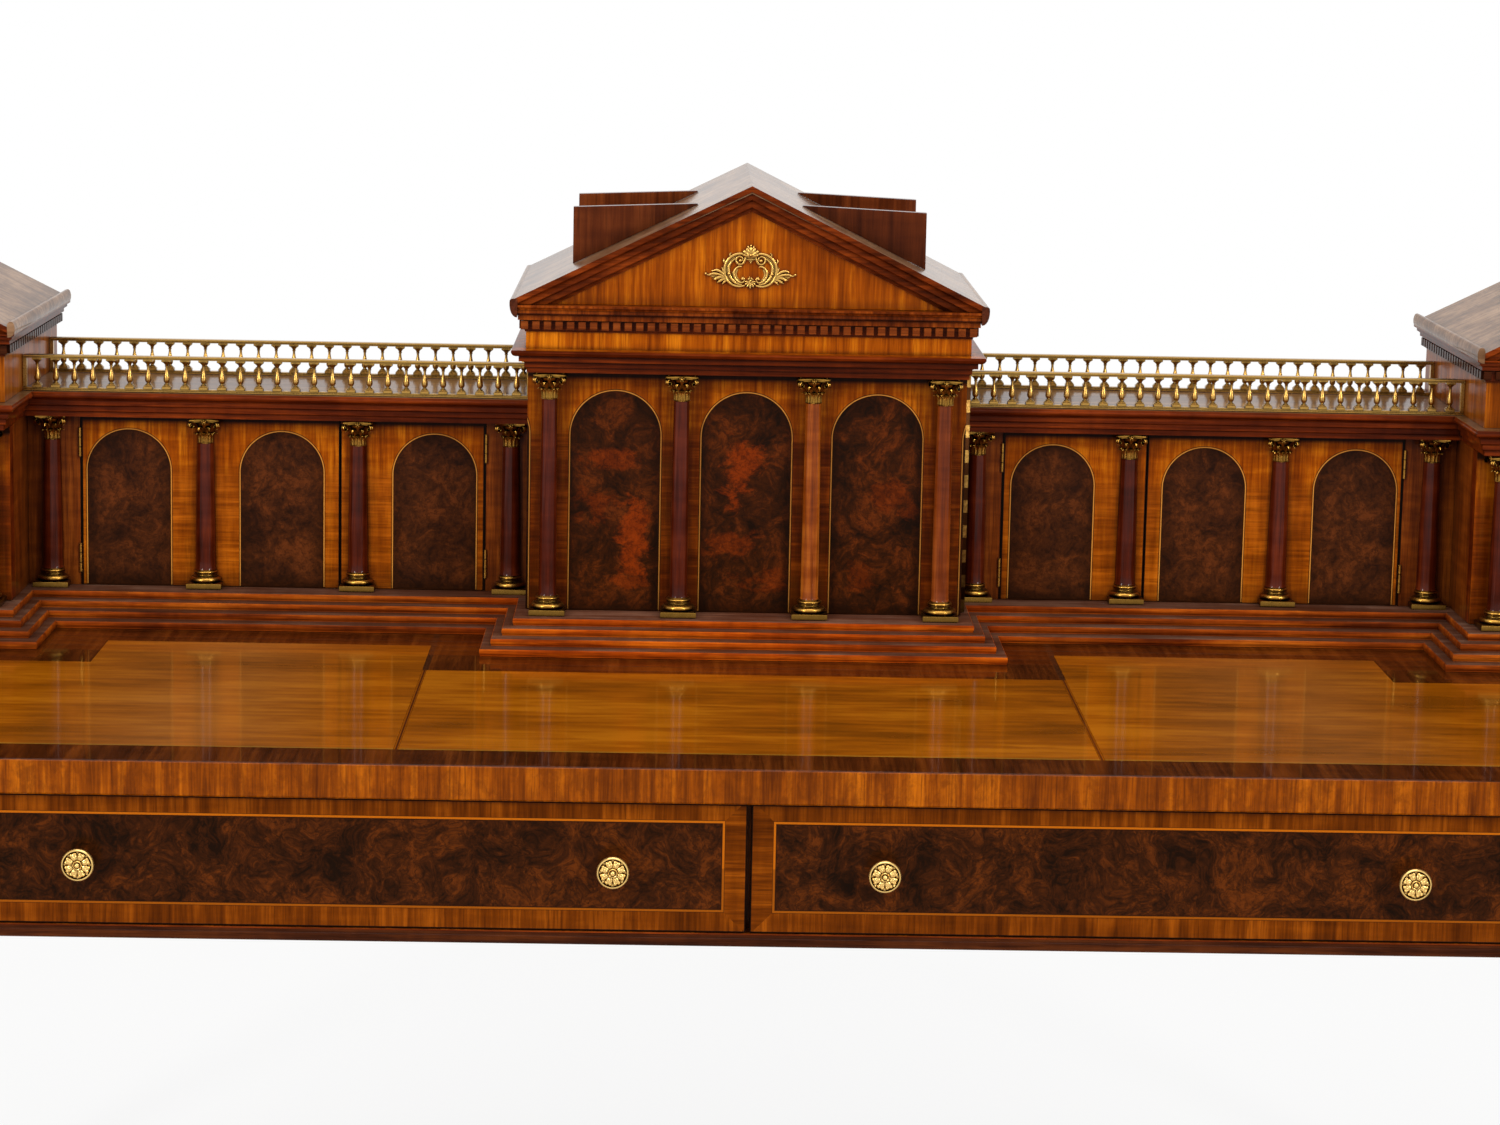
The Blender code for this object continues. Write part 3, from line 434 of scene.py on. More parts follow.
DECK_BROWN = tones(66, 38, 20, 98, 66, 40, 130, 96, 66)
BORDER_BROWN = tones(34, 12, 2, 62, 26, 5, 92, 44, 10)
BOX_WOOD = tones(120, 74, 34, 154, 102, 52, 184, 132, 74)
TAN = tones(104, 54, 2, 135, 71, 3, 160, 92, 9)
BOARD_BROWN = tones(50, 18, 6, 80, 34, 12, 112, 54, 22)
STOPS = (0.38, 0.5, 0.62)


def wood(net, colours, grain, shift=0.0, fine=260.0, fiddle=0.25):
    # grain is the axis that the fibres follow: 0, 1 or 2.
    place = (shift, shift * 0.7, shift * 1.3)

    def layer(across, along, detail=3.0, rough=0.55, distortion=0.0):
        scale = tuple(fine * (along if axis == grain else across) for axis in range(3))
        return net.noise(net.stretched(scale, place), 1.0, detail, rough, distortion)

    fibres = layer(1.0, 0.03, 5.0, 0.65)
    streaks = layer(0.25, 0.02, 4.0, 0.6, 0.6)
    clouds = layer(0.05, 0.035)
    flame = layer(0.07, 0.4)
    pores = layer(1.9, 0.09, 3.0, 0.6)
    mixed = net.plus(net.times(fibres, 0.38), net.times(streaks, 0.40))
    mixed = net.plus(mixed, net.times(clouds, 0.22))
    mixed = net.plus(mixed, net.times(net.minus(flame, 0.5), fiddle))
    colour = net.ramp(mixed, STOPS, colours)
    return net.tint(colour, net.rise(pores, 0.52, 0.66), 0.55, colours[0]), fibres


def burr(net, colours, scale, swirl, shift):
    # Cloudy root wood; swirl adds the curled dark contours of a livelier burr.
    bent = net.warped(net.stretched(cube(scale), cube(shift)), 0.8, 1.0 + swirl)
    clouds = net.noise(bent, 1.1)
    knots = net.noise(bent, 3.6, 5.0, 0.7, 1.2 * swirl)
    mixed = net.plus(net.times(clouds, 0.5), net.times(knots, 0.5))
    colour = net.ramp(mixed, (0.38, 0.5, 0.61), colours)
    rings = net.math("ABSOLUTE", net.math("SINE", net.times(clouds, 34.0)))
    thin = net.rise(rings, 0.0, 0.28)
    return net.tint(colour, net.inverse(thin), net.times(knots, 1.1 * swirl), colours[0]), knots


def speckled(net, colour, dark, strength, scale, shift):
    # Fine dark mottling, the eyes and bark specks of a burr.
    bent = net.warped(net.stretched(cube(scale), cube(shift)), 1.0, 1.2)
    specks = net.noise(bent, 1.0, 5.0, 0.78)
    return net.tint(colour, net.rise(specks, 0.46, 0.60), strength, dark)


def plain_wood(name, colours, grain, shift, roughness=0.32, coat=0.55, coat_roughness=0.16, fine=260.0,
               coat_ior=1.13, fiddle=0.25, reach=0.016, depth=0.6):
    net = Net(name)
    colour, fibres = wood(net, colours, grain, shift, fine, fiddle)
    gloss = net.blend(fibres, roughness - 0.05, roughness + 0.12)
    # Painted shade where pieces meet, over the given reach and depth.
    colour = net.shaded(colour, reach, depth)
    return net.finish(colour, gloss, fibres, 0.00012, 0.35, coat, coat_roughness, coat_ior)


def moulding_wood(name, colours, shift, bands=(), coat=0.5):
    # Mouldings with bands between given levels: the veneered bands of a frieze, and painted shadow bands.
    net = Net(name)
    colour, fibres = wood(net, colours, 0, shift, 200.0, 0.1)
    for low, high, band in bands:
        band_colour, _ = wood(net, band, 2, shift + 1.7, 240.0, 0.06)
        colour = net.mix(net.window(net.z, low, high), colour, band_colour)
    colour = net.shaded(net.crease_shade(colour), 0.02, 0.5)
    return net.finish(colour, net.blend(fibres, 0.24, 0.4), fibres, coat=coat, coat_roughness=0.15)


def brass(name, dark, light, roughness, patina, reach=0.004, foot=None):
    # Tarnish and painted shade lie in the hollows, and tarnish lies all over what is below the foot level.
    net = Net(name)
    cloud = net.noise(net.stretched(cube(160.0)))
    fine = net.noise(net.stretched(cube(900.0)), 1.0, 2.0)
    tone = net.times(net.openness(reach, 2.2, 8), net.blend(cloud, 1.0 - patina * 0.5, 1.0))
    colour = net.ramp(tone, (0.1, 0.85), (dark, light))
    if foot:
        colour = net.mix(net.step(net.z, foot, 0.0004), net.mix(0.6, colour, dark), colour)
    gloss = net.blend(fine, roughness - 0.05, roughness + 0.14)
    return net.finish(colour, gloss, cloud, 0.0001, 0.15, metallic=1.0)


def hinge_brass(foot, pitch):
    # Every other knuckle is tarnished almost black.
    net = Net("hinge_brass")
    turn = net.math("FLOOR", net.math("DIVIDE", net.minus(net.z, foot), pitch))
    cloud = net.noise(net.stretched(cube(300.0)), 1.0, 3.0)
    bright = net.ramp(cloud, (0.3, 0.7), (srgb(100, 70, 30), srgb(158, 122, 62)))
    colour = net.mix(net.math("PINGPONG", turn, 1.0), bright, srgb(50, 27, 11))
    return net.finish(net.shaded(colour, 0.01), net.blend(cloud, 0.3, 0.45), metallic=0.9)


def flame_mask(net, patches, shift):
    # Soft irregular patches of redder figure: (x, z, half width, half height, strength) each.
    bent = net.warped(net.stretched((30.0, 30.0, 44.0), (shift, 0.0, shift)), 1.4, 1.2)
    bend = net.times(net.minus(net.noise(bent, 1.0, 6.0, 0.68), 0.5), 4.4)
    total = None
    for x, z, wide, high, strength in patches:
        across = net.math("DIVIDE", net.minus(net.x, x), wide)
        along = net.math("DIVIDE", net.minus(net.z, z), high)
        mask = net.times(net.rise(net.plus(net.length(across, along), bend), 1.15, 0.65), strength)
        total = mask if total is None else net.most(total, mask)
    return total


def door_material(name, bay, first, half, top, face, head, shift, crossed_share, cross_tones, swirl,
                  patches=(), seams=()):
    # Crossbanded stiles, upright figured wood above, and burr panels with a boxwood line.
    net = Net(name)
    local = net.math("WRAP", net.minus(net.aside, first) if first else net.x, bay / 2, -bay / 2)
    spring = top - half
    # Signed distance from the round-headed panel, negative inside.
    up = net.most(net.minus(net.z, spring), 0.0)
    distance = net.most(net.minus(net.length(local, up), half), net.minus(ARCH_FOOT, net.z))
    upright, fibres = wood(net, GOLD, 2, shift)
    crossed, _ = wood(net, cross_tones, 0, shift + 2.0, 240.0, 0.3)
    low = net.inverse(net.step(net.z, spring + 0.004, 0.010))
    ground = net.tint(upright, low, crossed_share, crossed)
    panel, knots = burr(net, BURR if patches else WING_BURR, 24.0, swirl, shift)
    if patches:
        flame = net.mix(knots, srgb(78, 24, 4), srgb(164, 62, 8))
        panel = net.tint(panel, flame_mask(net, patches, shift), 0.85, flame)
    panel = speckled(net, panel, srgb(24, 12, 6), 0.55, 150.0, shift)
    rim = net.rise(net.times(distance, -1.0), 0.0, 0.016)
    panel = net.tint(panel, net.inverse(rim), 0.5, srgb(22, 9, 3))
    colour = net.mix(net.inverse(net.step(distance, 0.0)), ground, panel)
    # The boxwood line between two dark ones.
    colour = net.tint(colour, net.window(distance, -0.0005, 0.0021, 0.0002), 0.9, srgb(36, 14, 3))
    bright = net.window(distance, 0.0003, 0.0013, 0.0002)
    colour = net.tint(colour, bright, net.step(net.z, ARCH_FOOT), srgb(204, 136, 56))
    for seam in seams:
        joint = net.window(net.aside, seam - 0.0016, seam + 0.0016, 0.0002)
        colour = net.mix(joint, colour, srgb(12, 5, 2))
    # Painted shade: the gap and its shadow under the cornice, and the dark gap over the steps.
    level, solid, fade = head
    gloom = net.rise(net.z, level - fade, level - solid)
    sill = net.inverse(net.step(net.z, ARCH_FOOT - 0.0006, 0.0004))
    colour = net.tint(colour, net.most(gloom, sill), 0.93, srgb(12, 5, 3))
    # Only the outside face is veneered so; the edges and the inside are plain.
    inside, _ = wood(net, RED, 2, shift + 7.0)
    colour = net.mix(net.step(net.y, face + 0.0012), net.shaded(colour, 0.026, 0.9), inside)
    return net.finish(colour, net.blend(fibres, 0.26, 0.42), fibres, coat=0.5, coat_roughness=0.14)


def drawer_material(side, label):
    net = Net("drawer_veneer_" + label)
    low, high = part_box("drawer_" + label)
    inner, outer = sorted((abs(low.x), abs(high.x)))
    bottom = APRON_BOTTOM + 0.0115 + 0.001
    top = APRON_TOP - 0.001
    shift = 0.5 + side * 3.0
    x = net.times(net.x, float(side))
    edge = net.least(net.minus(x, inner), net.minus(outer, x))
    above = net.minus(net.z, bottom)
    below = net.minus(top, net.z)
    inset = net.least(edge, net.least(above, below))
    # The inlay lies a little nearer to the lower edge than to the upper one.
    veneer_level = net.least(net.plus(above, 0.0013), net.plus(below, 0.0044))
    veneer_inset = net.least(edge, veneer_level)
    upright, fibres = wood(net, BAND, 2, shift, 220.0, 0.15)
    lying, _ = wood(net, BAND, 0, shift + 1.0, 220.0, 0.15)
    band = net.mix(net.math("LESS_THAN", edge, veneer_level), upright, lying)
    field, _ = burr(net, DRAWER_BURR, 22.0, 1.2, shift)
    field = speckled(net, field, srgb(18, 8, 3), 0.45, 130.0, shift)
    colour = net.mix(net.step(veneer_inset, 0.0205), band, field)
    colour = net.tint(colour, net.window(veneer_inset, 0.0188, 0.0222, 0.0002), 0.8, srgb(36, 14, 5))
    upper = net.blend(net.step(net.z, (bottom + top) / 2), 0.6, 1.0)
    colour = net.tint(colour, net.window(veneer_inset, 0.0193, 0.0212, 0.0002), upper, srgb(172, 90, 10))
    colour = net.shaded(colour, 0.014, 0.9)
    # Painted shadow of the gap round the drawer: the front is dark within a millimetre of its edges.
    colour = net.mix(net.inverse(net.step(inset, 0.0010)), colour, srgb(10, 4, 2))
    box_wood, _ = wood(net, BOX_WOOD, 1, shift + 5.0, 160.0, 0.0)
    colour = net.mix(net.step(net.y, APRON_FRONT + 0.0172), colour, box_wood)
    return net.finish(colour, net.blend(fibres, 0.26, 0.4), fibres, coat=0.25, coat_roughness=0.12)


def top_material():
    net = Net("top_veneer")
    edge, fibres = wood(net, EDGE_GOLD, 2, 0.3, 260.0, 0.06)
    figure = net.noise(net.warped(net.stretched((70.0, 70.0, 46.0)), 1.5, 1.5), 1.0, 6.0, 0.7)
    edge = net.tint(edge, net.rise(figure, 0.44, 0.62), 0.5, srgb(84, 34, 0))
    border, _ = wood(net, BORDER_BROWN, 1, 0.9, 200.0, 0.15)
    border = net.shaded(border, 0.03, 0.8)
    # Between two skins only a thin seam shows; behind the middle skin it is worn wide and dark.
    between = net.window(net.aside, LEATHER_SPLIT - 0.001, LEATHER_SPLIT + 0.0055, 0.0004)
    thin = net.window(net.aside, LEATHER_SPLIT + 0.0013, LEATHER_SPLIT + 0.0029)
    joint = net.mix(thin, srgb(126, 64, 3), srgb(58, 24, 8))
    worn = net.mix(net.math("SINE", net.times(net.y, 1100.0)), srgb(60, 32, 14), srgb(30, 15, 9))
    joint = net.mix(net.step(net.y, LEATHER_BACK, 0.001), joint, worn)
    border = net.tint(border, between, net.step(net.y, LEATHER_FRONT, 0.0004), joint)
    colour = net.mix(net.step(net.z, SURFACE - 0.0009), net.shaded(edge, 0.008, 0.5), border)
    return net.finish(colour, net.blend(fibres, 0.16, 0.26), fibres, 0.00008, 0.2, 0.8, 0.05, 1.16)


def leather_material(name, shift):
    net = Net(name)
    grain = net.node("ShaderNodeTexVoronoi", {"Vector": net.stretched(cube(900.0)), "Scale": 1.0},
                     feature="SMOOTH_F1").outputs[0]
    wide = net.noise(net.stretched((5.0, 14.0, 5.0), cube(shift)))
    bent = net.warped(net.stretched((12.0, 110.0, 12.0), (shift, 0.0, 0.0)), 0.6, 1.2)
    tone = net.plus(net.times(wide, 0.6), net.times(net.noise(bent, 1.0, 3.0), 0.4))
    colour = net.ramp(tone, STOPS, TAN)
    # A tooled line along the front, and a painted sheen over the middle of each side skin.
    line = net.window(net.y, LEATHER_FRONT + 0.001, LEATHER_FRONT + 0.0026, 0.0004)
    colour = net.tint(colour, line, 0.7, srgb(134, 122, 46))
    painted_sheen = net.window(net.aside, 0.42, 0.60, 0.07)
    colour = net.tint(colour, painted_sheen, net.blend(wide, 0.0, 0.4), srgb(130, 96, 62))
    colour = net.shaded(colour, 0.03, 0.7)
    return net.finish(colour, net.blend(wide, 0.24, 0.34), grain, 0.0001, 0.12, 0.9, 0.08, 1.3)


def eave_material():
    # Dark ends, and a painted sheen in the pale roof tones on what faces up.
    net = Net("eave_wood")
    colour, fibres = wood(net, EAVE_END, 1, 0.6, 120.0)
    pale, _ = wood(net, PALE_ROOF, 1, 0.6, 120.0)
    colour = net.shaded(net.mix(net.facing_up(0.1, 0.6), colour, pale))
    return net.finish(colour, net.blend(fibres, 0.25, 0.42), fibres, 0.00012, 0.35, 0.8, 0.16)


def steps_material():
    # Brighter before the centre, dull patches, and dust with a painted sheen on the treads.
    net = Net("steps_wood")
    colour, fibres = wood(net, STEP_RED, 0, 0.4, 220.0, 0.1)
    bright, _ = wood(net, STEP_BRIGHT, 0, 0.4, 220.0, 0.1)
    colour = net.mix(net.step(net.aside, CENTRE_HALF + 0.06, 0.02), bright, colour)
    tread, _ = wood(net, STEP_DUST_AND_SHEEN, 0, 1.2, 200.0, 0.1)
    # Dust and painted sheen on what faces up, over painted shade in the creases.
    colour = net.tint(net.crease_shade(colour, 0.003, 0.25), net.facing_up(0.5, 0.9), 0.92, tread)
    grime = net.noise(net.warped(net.stretched((16.0, 16.0, 90.0)), 1.2, 1.0), 1.0, 5.0, 0.65)
    colour = net.tint(colour, net.rise(grime, 0.46, 0.64), 0.35, srgb(62, 26, 8))
    colour = net.shaded(colour, 0.012, 0.3)
    return net.finish(colour, net.blend(fibres, 0.28, 0.42), fibres, coat=0.3, coat_roughness=0.2)


def cornice_material(name, shift):
    net = Net(name)
    colour, fibres = wood(net, RED, 0, shift, 200.0, 0.1)
    deck, _ = wood(net, DECK_BROWN, 0, 0.9, 120.0, 0.1)
    colour = net.mix(net.step(net.z, DECK - 0.0003, 0.0002), net.crease_shade(colour), deck)
    return net.finish(colour, net.blend(fibres, 0.24, 0.36), fibres, coat=0.6, coat_roughness=0.12)


def apron_material():
    net = Net("apron_veneer")
    band_colour, fibres = wood(net, BAND, 2, 0.8, 220.0, 0.2)
    rail, _ = wood(net, RED, 0, 0.2, 200.0, 0.1)
    colour = net.mix(net.step(net.z, APRON_BOTTOM + 0.0112), rail, band_colour)
    return net.finish(colour, net.blend(fibres, 0.26, 0.4), fibres, coat=0.5, coat_roughness=0.14)


BRASS = brass("aged_brass", srgb(60, 40, 14), srgb(202, 158, 84), 0.26, 0.6)
BRASS_ORNAMENT = brass("ornament_brass", srgb(44, 25, 6), srgb(204, 160, 84), 0.22, 0.6, 0.0024)
BRASS_KNOB = brass("knob_brass", srgb(60, 36, 10), srgb(226, 188, 114), 0.24, 0.45, 0.0014)
BRASS_CAPITAL = brass("capital_brass", srgb(22, 12, 3), srgb(176, 130, 56), 0.24, 0.9, 0.006, TREAD + 0.0068)
BRASS_GALLERY = brass("gallery_brass", srgb(54, 36, 12), srgb(182, 142, 74), 0.24, 0.7)
SHAFT_LOOKS = (
    ("shaft_wood", DARK, 0.2),
    ("shaft_wood_light", tones(82, 30, 3, 138, 64, 12, 190, 106, 32), 0.5),
    ("shaft_wood_red", tones(78, 28, 6, 120, 52, 13, 156, 78, 28), 0.7))
SHAFT, SHAFT_LIGHT, SHAFT_RED = [
    plain_wood(name, colours, 2, shift, 0.24, 0.9, 0.09, 160.0, 1.25) for name, colours, shift in SHAFT_LOOKS]
ROOF = plain_wood("roof_wood", PALE_ROOF, 0, 0.6, 0.3, 0.8, 0.16, 120.0, reach=0.03, depth=0.85)
RAKE_WOOD = moulding_wood("rake_wood", RAKE_RED, 0.3, coat=0.2)
TRIM_WOOD = moulding_wood("trim_wood", tones(30, 9, 2, 58, 24, 7, 86, 40, 12), 0.8)
TOOTH_WOOD = moulding_wood("tooth_wood", tones(58, 20, 5, 112, 50, 15, 152, 78, 28), 0.8)
TYMPANUM = plain_wood("tympanum_veneer", TYMPANUM_GOLD, 2, 1.1, 0.3, 0.5, 0.14, 240.0, 1.16, 0.06)
LEG_WOOD = plain_wood("leg_veneer", EDGE_GOLD, 2, 2.1)
CARCASE = plain_wood("carcase_veneer", tones(76, 30, 6, 116, 52, 10, 154, 78, 20), 2, 3.0, 0.32, 0.55, 0.16,
                     260.0, 1.16, 0.25, 0.05, 0.8)


# Placing pieces

def piece(name, shape, material, replaces=(), angle=40.0, body="root"):
    thing = bpy.data.objects.new(name, shape.mesh(name, angle))
    bpy.context.scene.collection.objects.link(thing)
    thing.data.materials.append(material)
    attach(thing, body)
    if replaces:
        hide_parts(*replaces)


def dress(node, material):
    mesh = NODES[node]
    for slot in mesh.material_slots:
        slot.material = material
    if not mesh.material_slots:
        mesh.data.materials.append(material)


BODIES = {}
for body_name, members in frame["record"]["behaviour"]["bodies"].items():
    for member in members:
        BODIES[member] = body_name


# Columns, in the CAD's sizes: plinth and base, shaft, and a capital of leaves and scrolls

CAPITAL_HEIGHT = 26 * MM
COLUMN_AXIS = 18 * MM


def bell_radius(level):
    # Radius of the capital's bell at a height above its foot.
    share = min(max((level - 2 * MM) / (20 * MM), 0.0), 1.0)
    return (7.4 + 5.0 * share ** 2.4) * MM


def add_leaf(shape, place, width, height, curl):
    # The leaf hugs the bell, leans out, and tips over above its bend.
    rows = 9
    columns = 6
    bend = 0.83
    front = []
    back = []
    for row in range(rows + 1):
        v = row / rows
        climb = 1.08 * math.sin(min(v, bend) * math.pi * 0.60) - max(v - bend, 0.0) * 1.1
        level = 1.2 * MM + height * climb
        reach = bell_radius(level) + (0.7 + curl * v ** 3) * MM
        wide = width / 2 * (0.70 + 0.42 * math.sin(math.pi * min(v * 1.05, 1.0)))
        wide *= 1.0 + 0.13 * math.cos(v * 24.0)
        wide *= math.sqrt(max(1.0 - (v * 0.96) ** 5, 0.05))
        for column in range(columns + 1):
            u = 2 * column / columns - 1
            depth = reach - 0.9 * MM * u * u + 0.28 * MM * math.cos(u * math.pi * 3)
            angle = wide * u / reach
            inner = depth - 0.7 * MM
            front.append((depth * math.sin(angle), -depth * math.cos(angle), level))
            back.append((inner * math.sin(angle), -inner * math.cos(angle), level))
    count = len(front)
    line = columns + 1
    faces = []
    for row in range(rows):
        for a in range(row * line, row * line + columns):
            b = a + count
            faces.append((a, a + 1, a + line + 1, a + line))
            faces.append((b, b + line, b + line + 1, b + 1))
    rim = list(range(line))
    rim += [row * line + columns for row in range(1, rows + 1)]
    rim += [rows * line + column for column in range(columns - 1, -1, -1)]
    rim += [row * line for row in range(rows - 1, 0, -1)]
    for index, here in enumerate(rim):
        after = rim[(index + 1) % len(rim)]
        faces.append((here, here + count, after + count, after))
    shape.add(front + back, faces, place)


def add_volute(shape, place, side):
    # A scroll under the abacus corner, in the upright plane of the corner.
    points = [(8.6, 12.0), (9.8, 16.0), (12.2, 20.0), (15.4, 22.7), (18.2, 23.4)]
    steps = 15
    for step in range(steps + 1):
        angle = math.radians(88 - step * 30)
        radius = 3.6 - 2.8 * step / steps
        points.append((18.4 + radius * math.cos(angle), 19.8 + radius * math.sin(angle)))
    path = [mm(side, -reach, level) for reach, level in points]
    shares = [index / (len(points) - 1) for index in range(len(points))]
    sizes = [mm(0.72 - 0.2 * share, 1.2 + 0.3 * share) for share in shares]
    shape.tube(path, sizes, (1.0, 0.0, 0.0), 6, place)


def add_capital(shape, foot, back, half):
    place = Matrix.Translation((0.0, 0.0, foot))

    def turns(count, start, least):
        # Places all round the bell; a half column keeps those that face forwards.
        angles = [math.radians(start + 360 / count * index) for index in range(count)]
        return [place @ Matrix.Rotation(angle, 4, "Z") for angle in angles
                if not half or math.cos(angle) >= least]

    profile = [(7.6, 0), (8.3, 0.25), (8.6, 0.7), (8.3, 1.15), (7.4, 1.5)]
    profile += [(bell_radius(level * MM) / MM, level) for level in (4, 7, 10, 13, 16, 18.5, 20.5)]
    shape.turned(lifted(profile + [(12.2, 22.3)]), 12 if half else 20, place, back if half else None)
    for start, width, height, curl in ((0.0, 7.0, 9.6, 3.4), (22.5, 6.8, 15.6, 4.2)):
        for turned in turns(8, start, -0.01):
            add_leaf(shape, turned, width * MM, height * MM, curl)
    for turned in turns(4, 45.0, 0.0):
        for side in (-1, 1):
            add_volute(shape, turned, side)
    # Abacus with hollow sides, a flower on each, and a thin upper fillet.
    outline = []
    for quarter in range(4):
        turn = Matrix.Rotation(math.radians(90 * quarter), 2)
        for step in range(9):
            x = -14.4 + 28.8 * step / 8
            corner = turn @ Vector((x, -(11.4 + 4.6 * (x / 14.4) ** 2)))
            outline.append((corner.x * MM, corner.y * MM))
    outline = clipped(outline, back)
    for low, high, size in ((23.2, 24.6, 0.91), (24.8, 26.0, 1.0)):
        shape.loft([[(x * size, min(y * size, back), foot + level * MM) for x, y in outline]
                    for level in (low, high)])
    for turned in turns(4, 0.0, 0.5):
        shape.ball(mm(0, -13.2, 23.2), mm(1.4, 1.3, 1.4), 5, 8, turned)
        for petal in range(5):
            around = math.radians(90 + 72 * petal)
            shape.ball(mm(1.9 * math.cos(around), -12.9, 23.4 + 1.9 * math.sin(around)), mm(1.1, 0.9, 1.1),
                       4, 6, turned)


def add_base(shape, back, half):
    side = COLUMN_AXIS
    rings = []
    for inset, level in ((0.0, 0.0), (0.0, 4.6), (0.6, 5.2)):
        size = 1 - inset / 18
        rings.append([(x * size, (y if abs(y - back) < 1e-6 else y * size), level * MM)
                      for x, y in clipped(rectangle(-side, side, -side, side), back)])
    shape.loft(rings)
    profile = [(14.8, 5), *arc(13.5, 8.0, 2.8, 2.9, -80, 80, 8), (12.9, 11), (12.9, 11.4), (11.5, 12),
               (10.9, 12.8), (11, 13.4), (11.7, 13.9), (12.2, 14.1), (12.2, 14.5),
               *arc(10.6, 15.9, 1.7, 1.4, -75, 75, 5), (10.4, 17.4), (10.4, 18.3), (9.2, 18.7), (8.8, 18.9)]
    shape.turned(lifted(profile), 16 if half else 28, None, back if half else None)


def column_shapes(height, back, half):
    metal = Shape()
    add_base(metal, back, half)
    add_capital(metal, height - CAPITAL_HEIGHT, back, half)
    foot_radius, neck_share = (10.75 * MM, 0.82) if half else (9.0 * MM, 0.86)
    bottom = 18.4 * MM
    top = height - 25.6 * MM
    foot = 2.4 * MM
    profile = [(foot_radius * 1.06, bottom), (foot_radius * 1.02, bottom + 1.2 * MM)]
    steps = 14
    for step in range(steps + 1):
        t = step / steps
        radius = foot_radius * (1 - (1 - neck_share) * t ** 1.5)
        profile.append((radius, bottom + foot + (top - bottom - foot) * t))
    shaft = Shape()
    shaft.turned(profile, 16 if half else 28, None, back if half else None)
    return shaft, metal


def build_columns():
    made = {}
    for name in sorted(node for node in NODES if "_column_" in node):
        low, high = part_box(name)
        height = high.z - low.z
        half = high.y - low.y < 0.03
        axis = low.y + COLUMN_AXIS
        key = (round(height, 5), half)
        if key not in made:
            made[key] = column_shapes(height, high.y - axis, half)
        place = Matrix.Translation(((low.x + high.x) / 2, axis, low.z))
        shaft_wood = {"centre_column_3": SHAFT_LIGHT, "centre_column_4": SHAFT_RED}.get(name, SHAFT)
        looks = (("_shaft", shaft_wood, "dark_mahogany"), ("_mounts", BRASS_CAPITAL, "brass"))
        for shape, (ending, material, slot) in zip(made[key], looks):
            copy = Shape()
            copy.add(shape.points, shape.faces, place)
            piece(name + ending, copy, material, (name,), 50.0, BODIES[name])


# Mouldings and roofs; profiles are (projection, height) in millimetres, from the bottom up

CENTRE_PROFILE = [
    (0, 0), (0, 4.9), (1.3, 5.1), (1.3, 5.7), (2.2, 5.9), (2.2, 10.5), (3.2, 10.8), (3.6, 11.5), (7.6, 11.7),
    (7.6, 16.8), (8.6, 17.1), *arc(9.0, 21.2, 5.6, 4.1, -90, -10, 5), (15, 20.9), (15, 23), (14.2, 23.5),
    (0.9, 24.2), (0.9, 41.1), (2, 41.5), (2, 42.9), (3.2, 43.2), (3.2, 53.1), (8.8, 53.5), (8.8, 58.3),
    (10.2, 58.6), (10.6, 59.5), (12.4, 59.8), (12.4, 63.7), (13.4, 64.1), (13.8, 65.1), (14.6, 66.1),
    (15.8, 66.7), (16, 67.5), (16, 69)]
WING_PROFILE = [
    (0, 0), (0, 5), (0.9, 5.4), (1.2, 6.2), (2.9, 6.4), (2.9, 11.3), (3.8, 11.8), (4.2, 12.6), (6.1, 12.8),
    (6.1, 17.6), (7, 18.1), (7.4, 19), (9, 19.4), *arc(8.6, 22.6, 3.4, 3.0, -70, 20, 5), (11.2, 24.6),
    (11.2, 25.4), (10.6, 27)]
END_PROFILE = [
    (0, 0), (0, 46), (1.2, 46.4), (1.2, 48), (3, 48.3), (3, 58.6), (6.6, 59), (6.6, 62.8), (7.8, 63.1),
    (8.2, 64), (9.6, 64.3), (9.6, 67), (10.6, 67.4), (12.3, 68.2), (12.5, 69.5)]
END_EAVE = [
    (-0.2, -13), (3, -12.6), (5.6, -10.6), (7, -7.4), (7.2, -3.6), (6.6, -0.6), (5.8, 1.4), (4.6, 2.6),
    (3, 2.8), (1.4, 2.4), (0.2, 1.4), (-0.6, -0.4)]
CENTRE_EAVE = [
    (-0.2, -22.8), (1.8, -22.4), (3.8, -20.8), (5.4, -18.4), (6.5, -15.2), (7.1, -11.6), (7.2, -8), (7, -6),
    (6.2, -4.8), (4.8, -4.2), (3, -4), (0.2, -4), (-0.6, -6)]
# Drop under the roof line in millimetres and share of the overhang, from the top of the rake down.
RAKE_STEPS = (
    (0, 1.00), (5.6, 1.00), (6.2, 0.93), (7.2, 0.86), (7.6, 0.80), (8.4, 0.78), (13.6, 0.74), (14.2, 0.66),
    (14.8, 0.54), (15.6, 0.50), (21.4, 0.44), (22.2, 0.36), (22.8, 0.16), (26, 0.10), (26.3, 0))
ROOF_SLOPE = 0.496
EAVE_HEIGHT = 0.004
ROOF_BOARD = 0.0075


def add_dentils(shape, start, end, depth, bottom, top, out, count, axis):
    # Teeth along X (axis 0) at a front plane, or along Y (axis 1) at a side plane.
    pitch = (end - start) / count
    near, far = sorted((depth, depth + out))
    for index in range(count):
        low = start + index * pitch + pitch * 0.17
        high = low + pitch * 0.64
        if axis == 0:
            shape.box((low, near, bottom), (high, far, top), 0.0003)
        else:
            shape.box((near, low, bottom), (far, high, top), 0.0003)


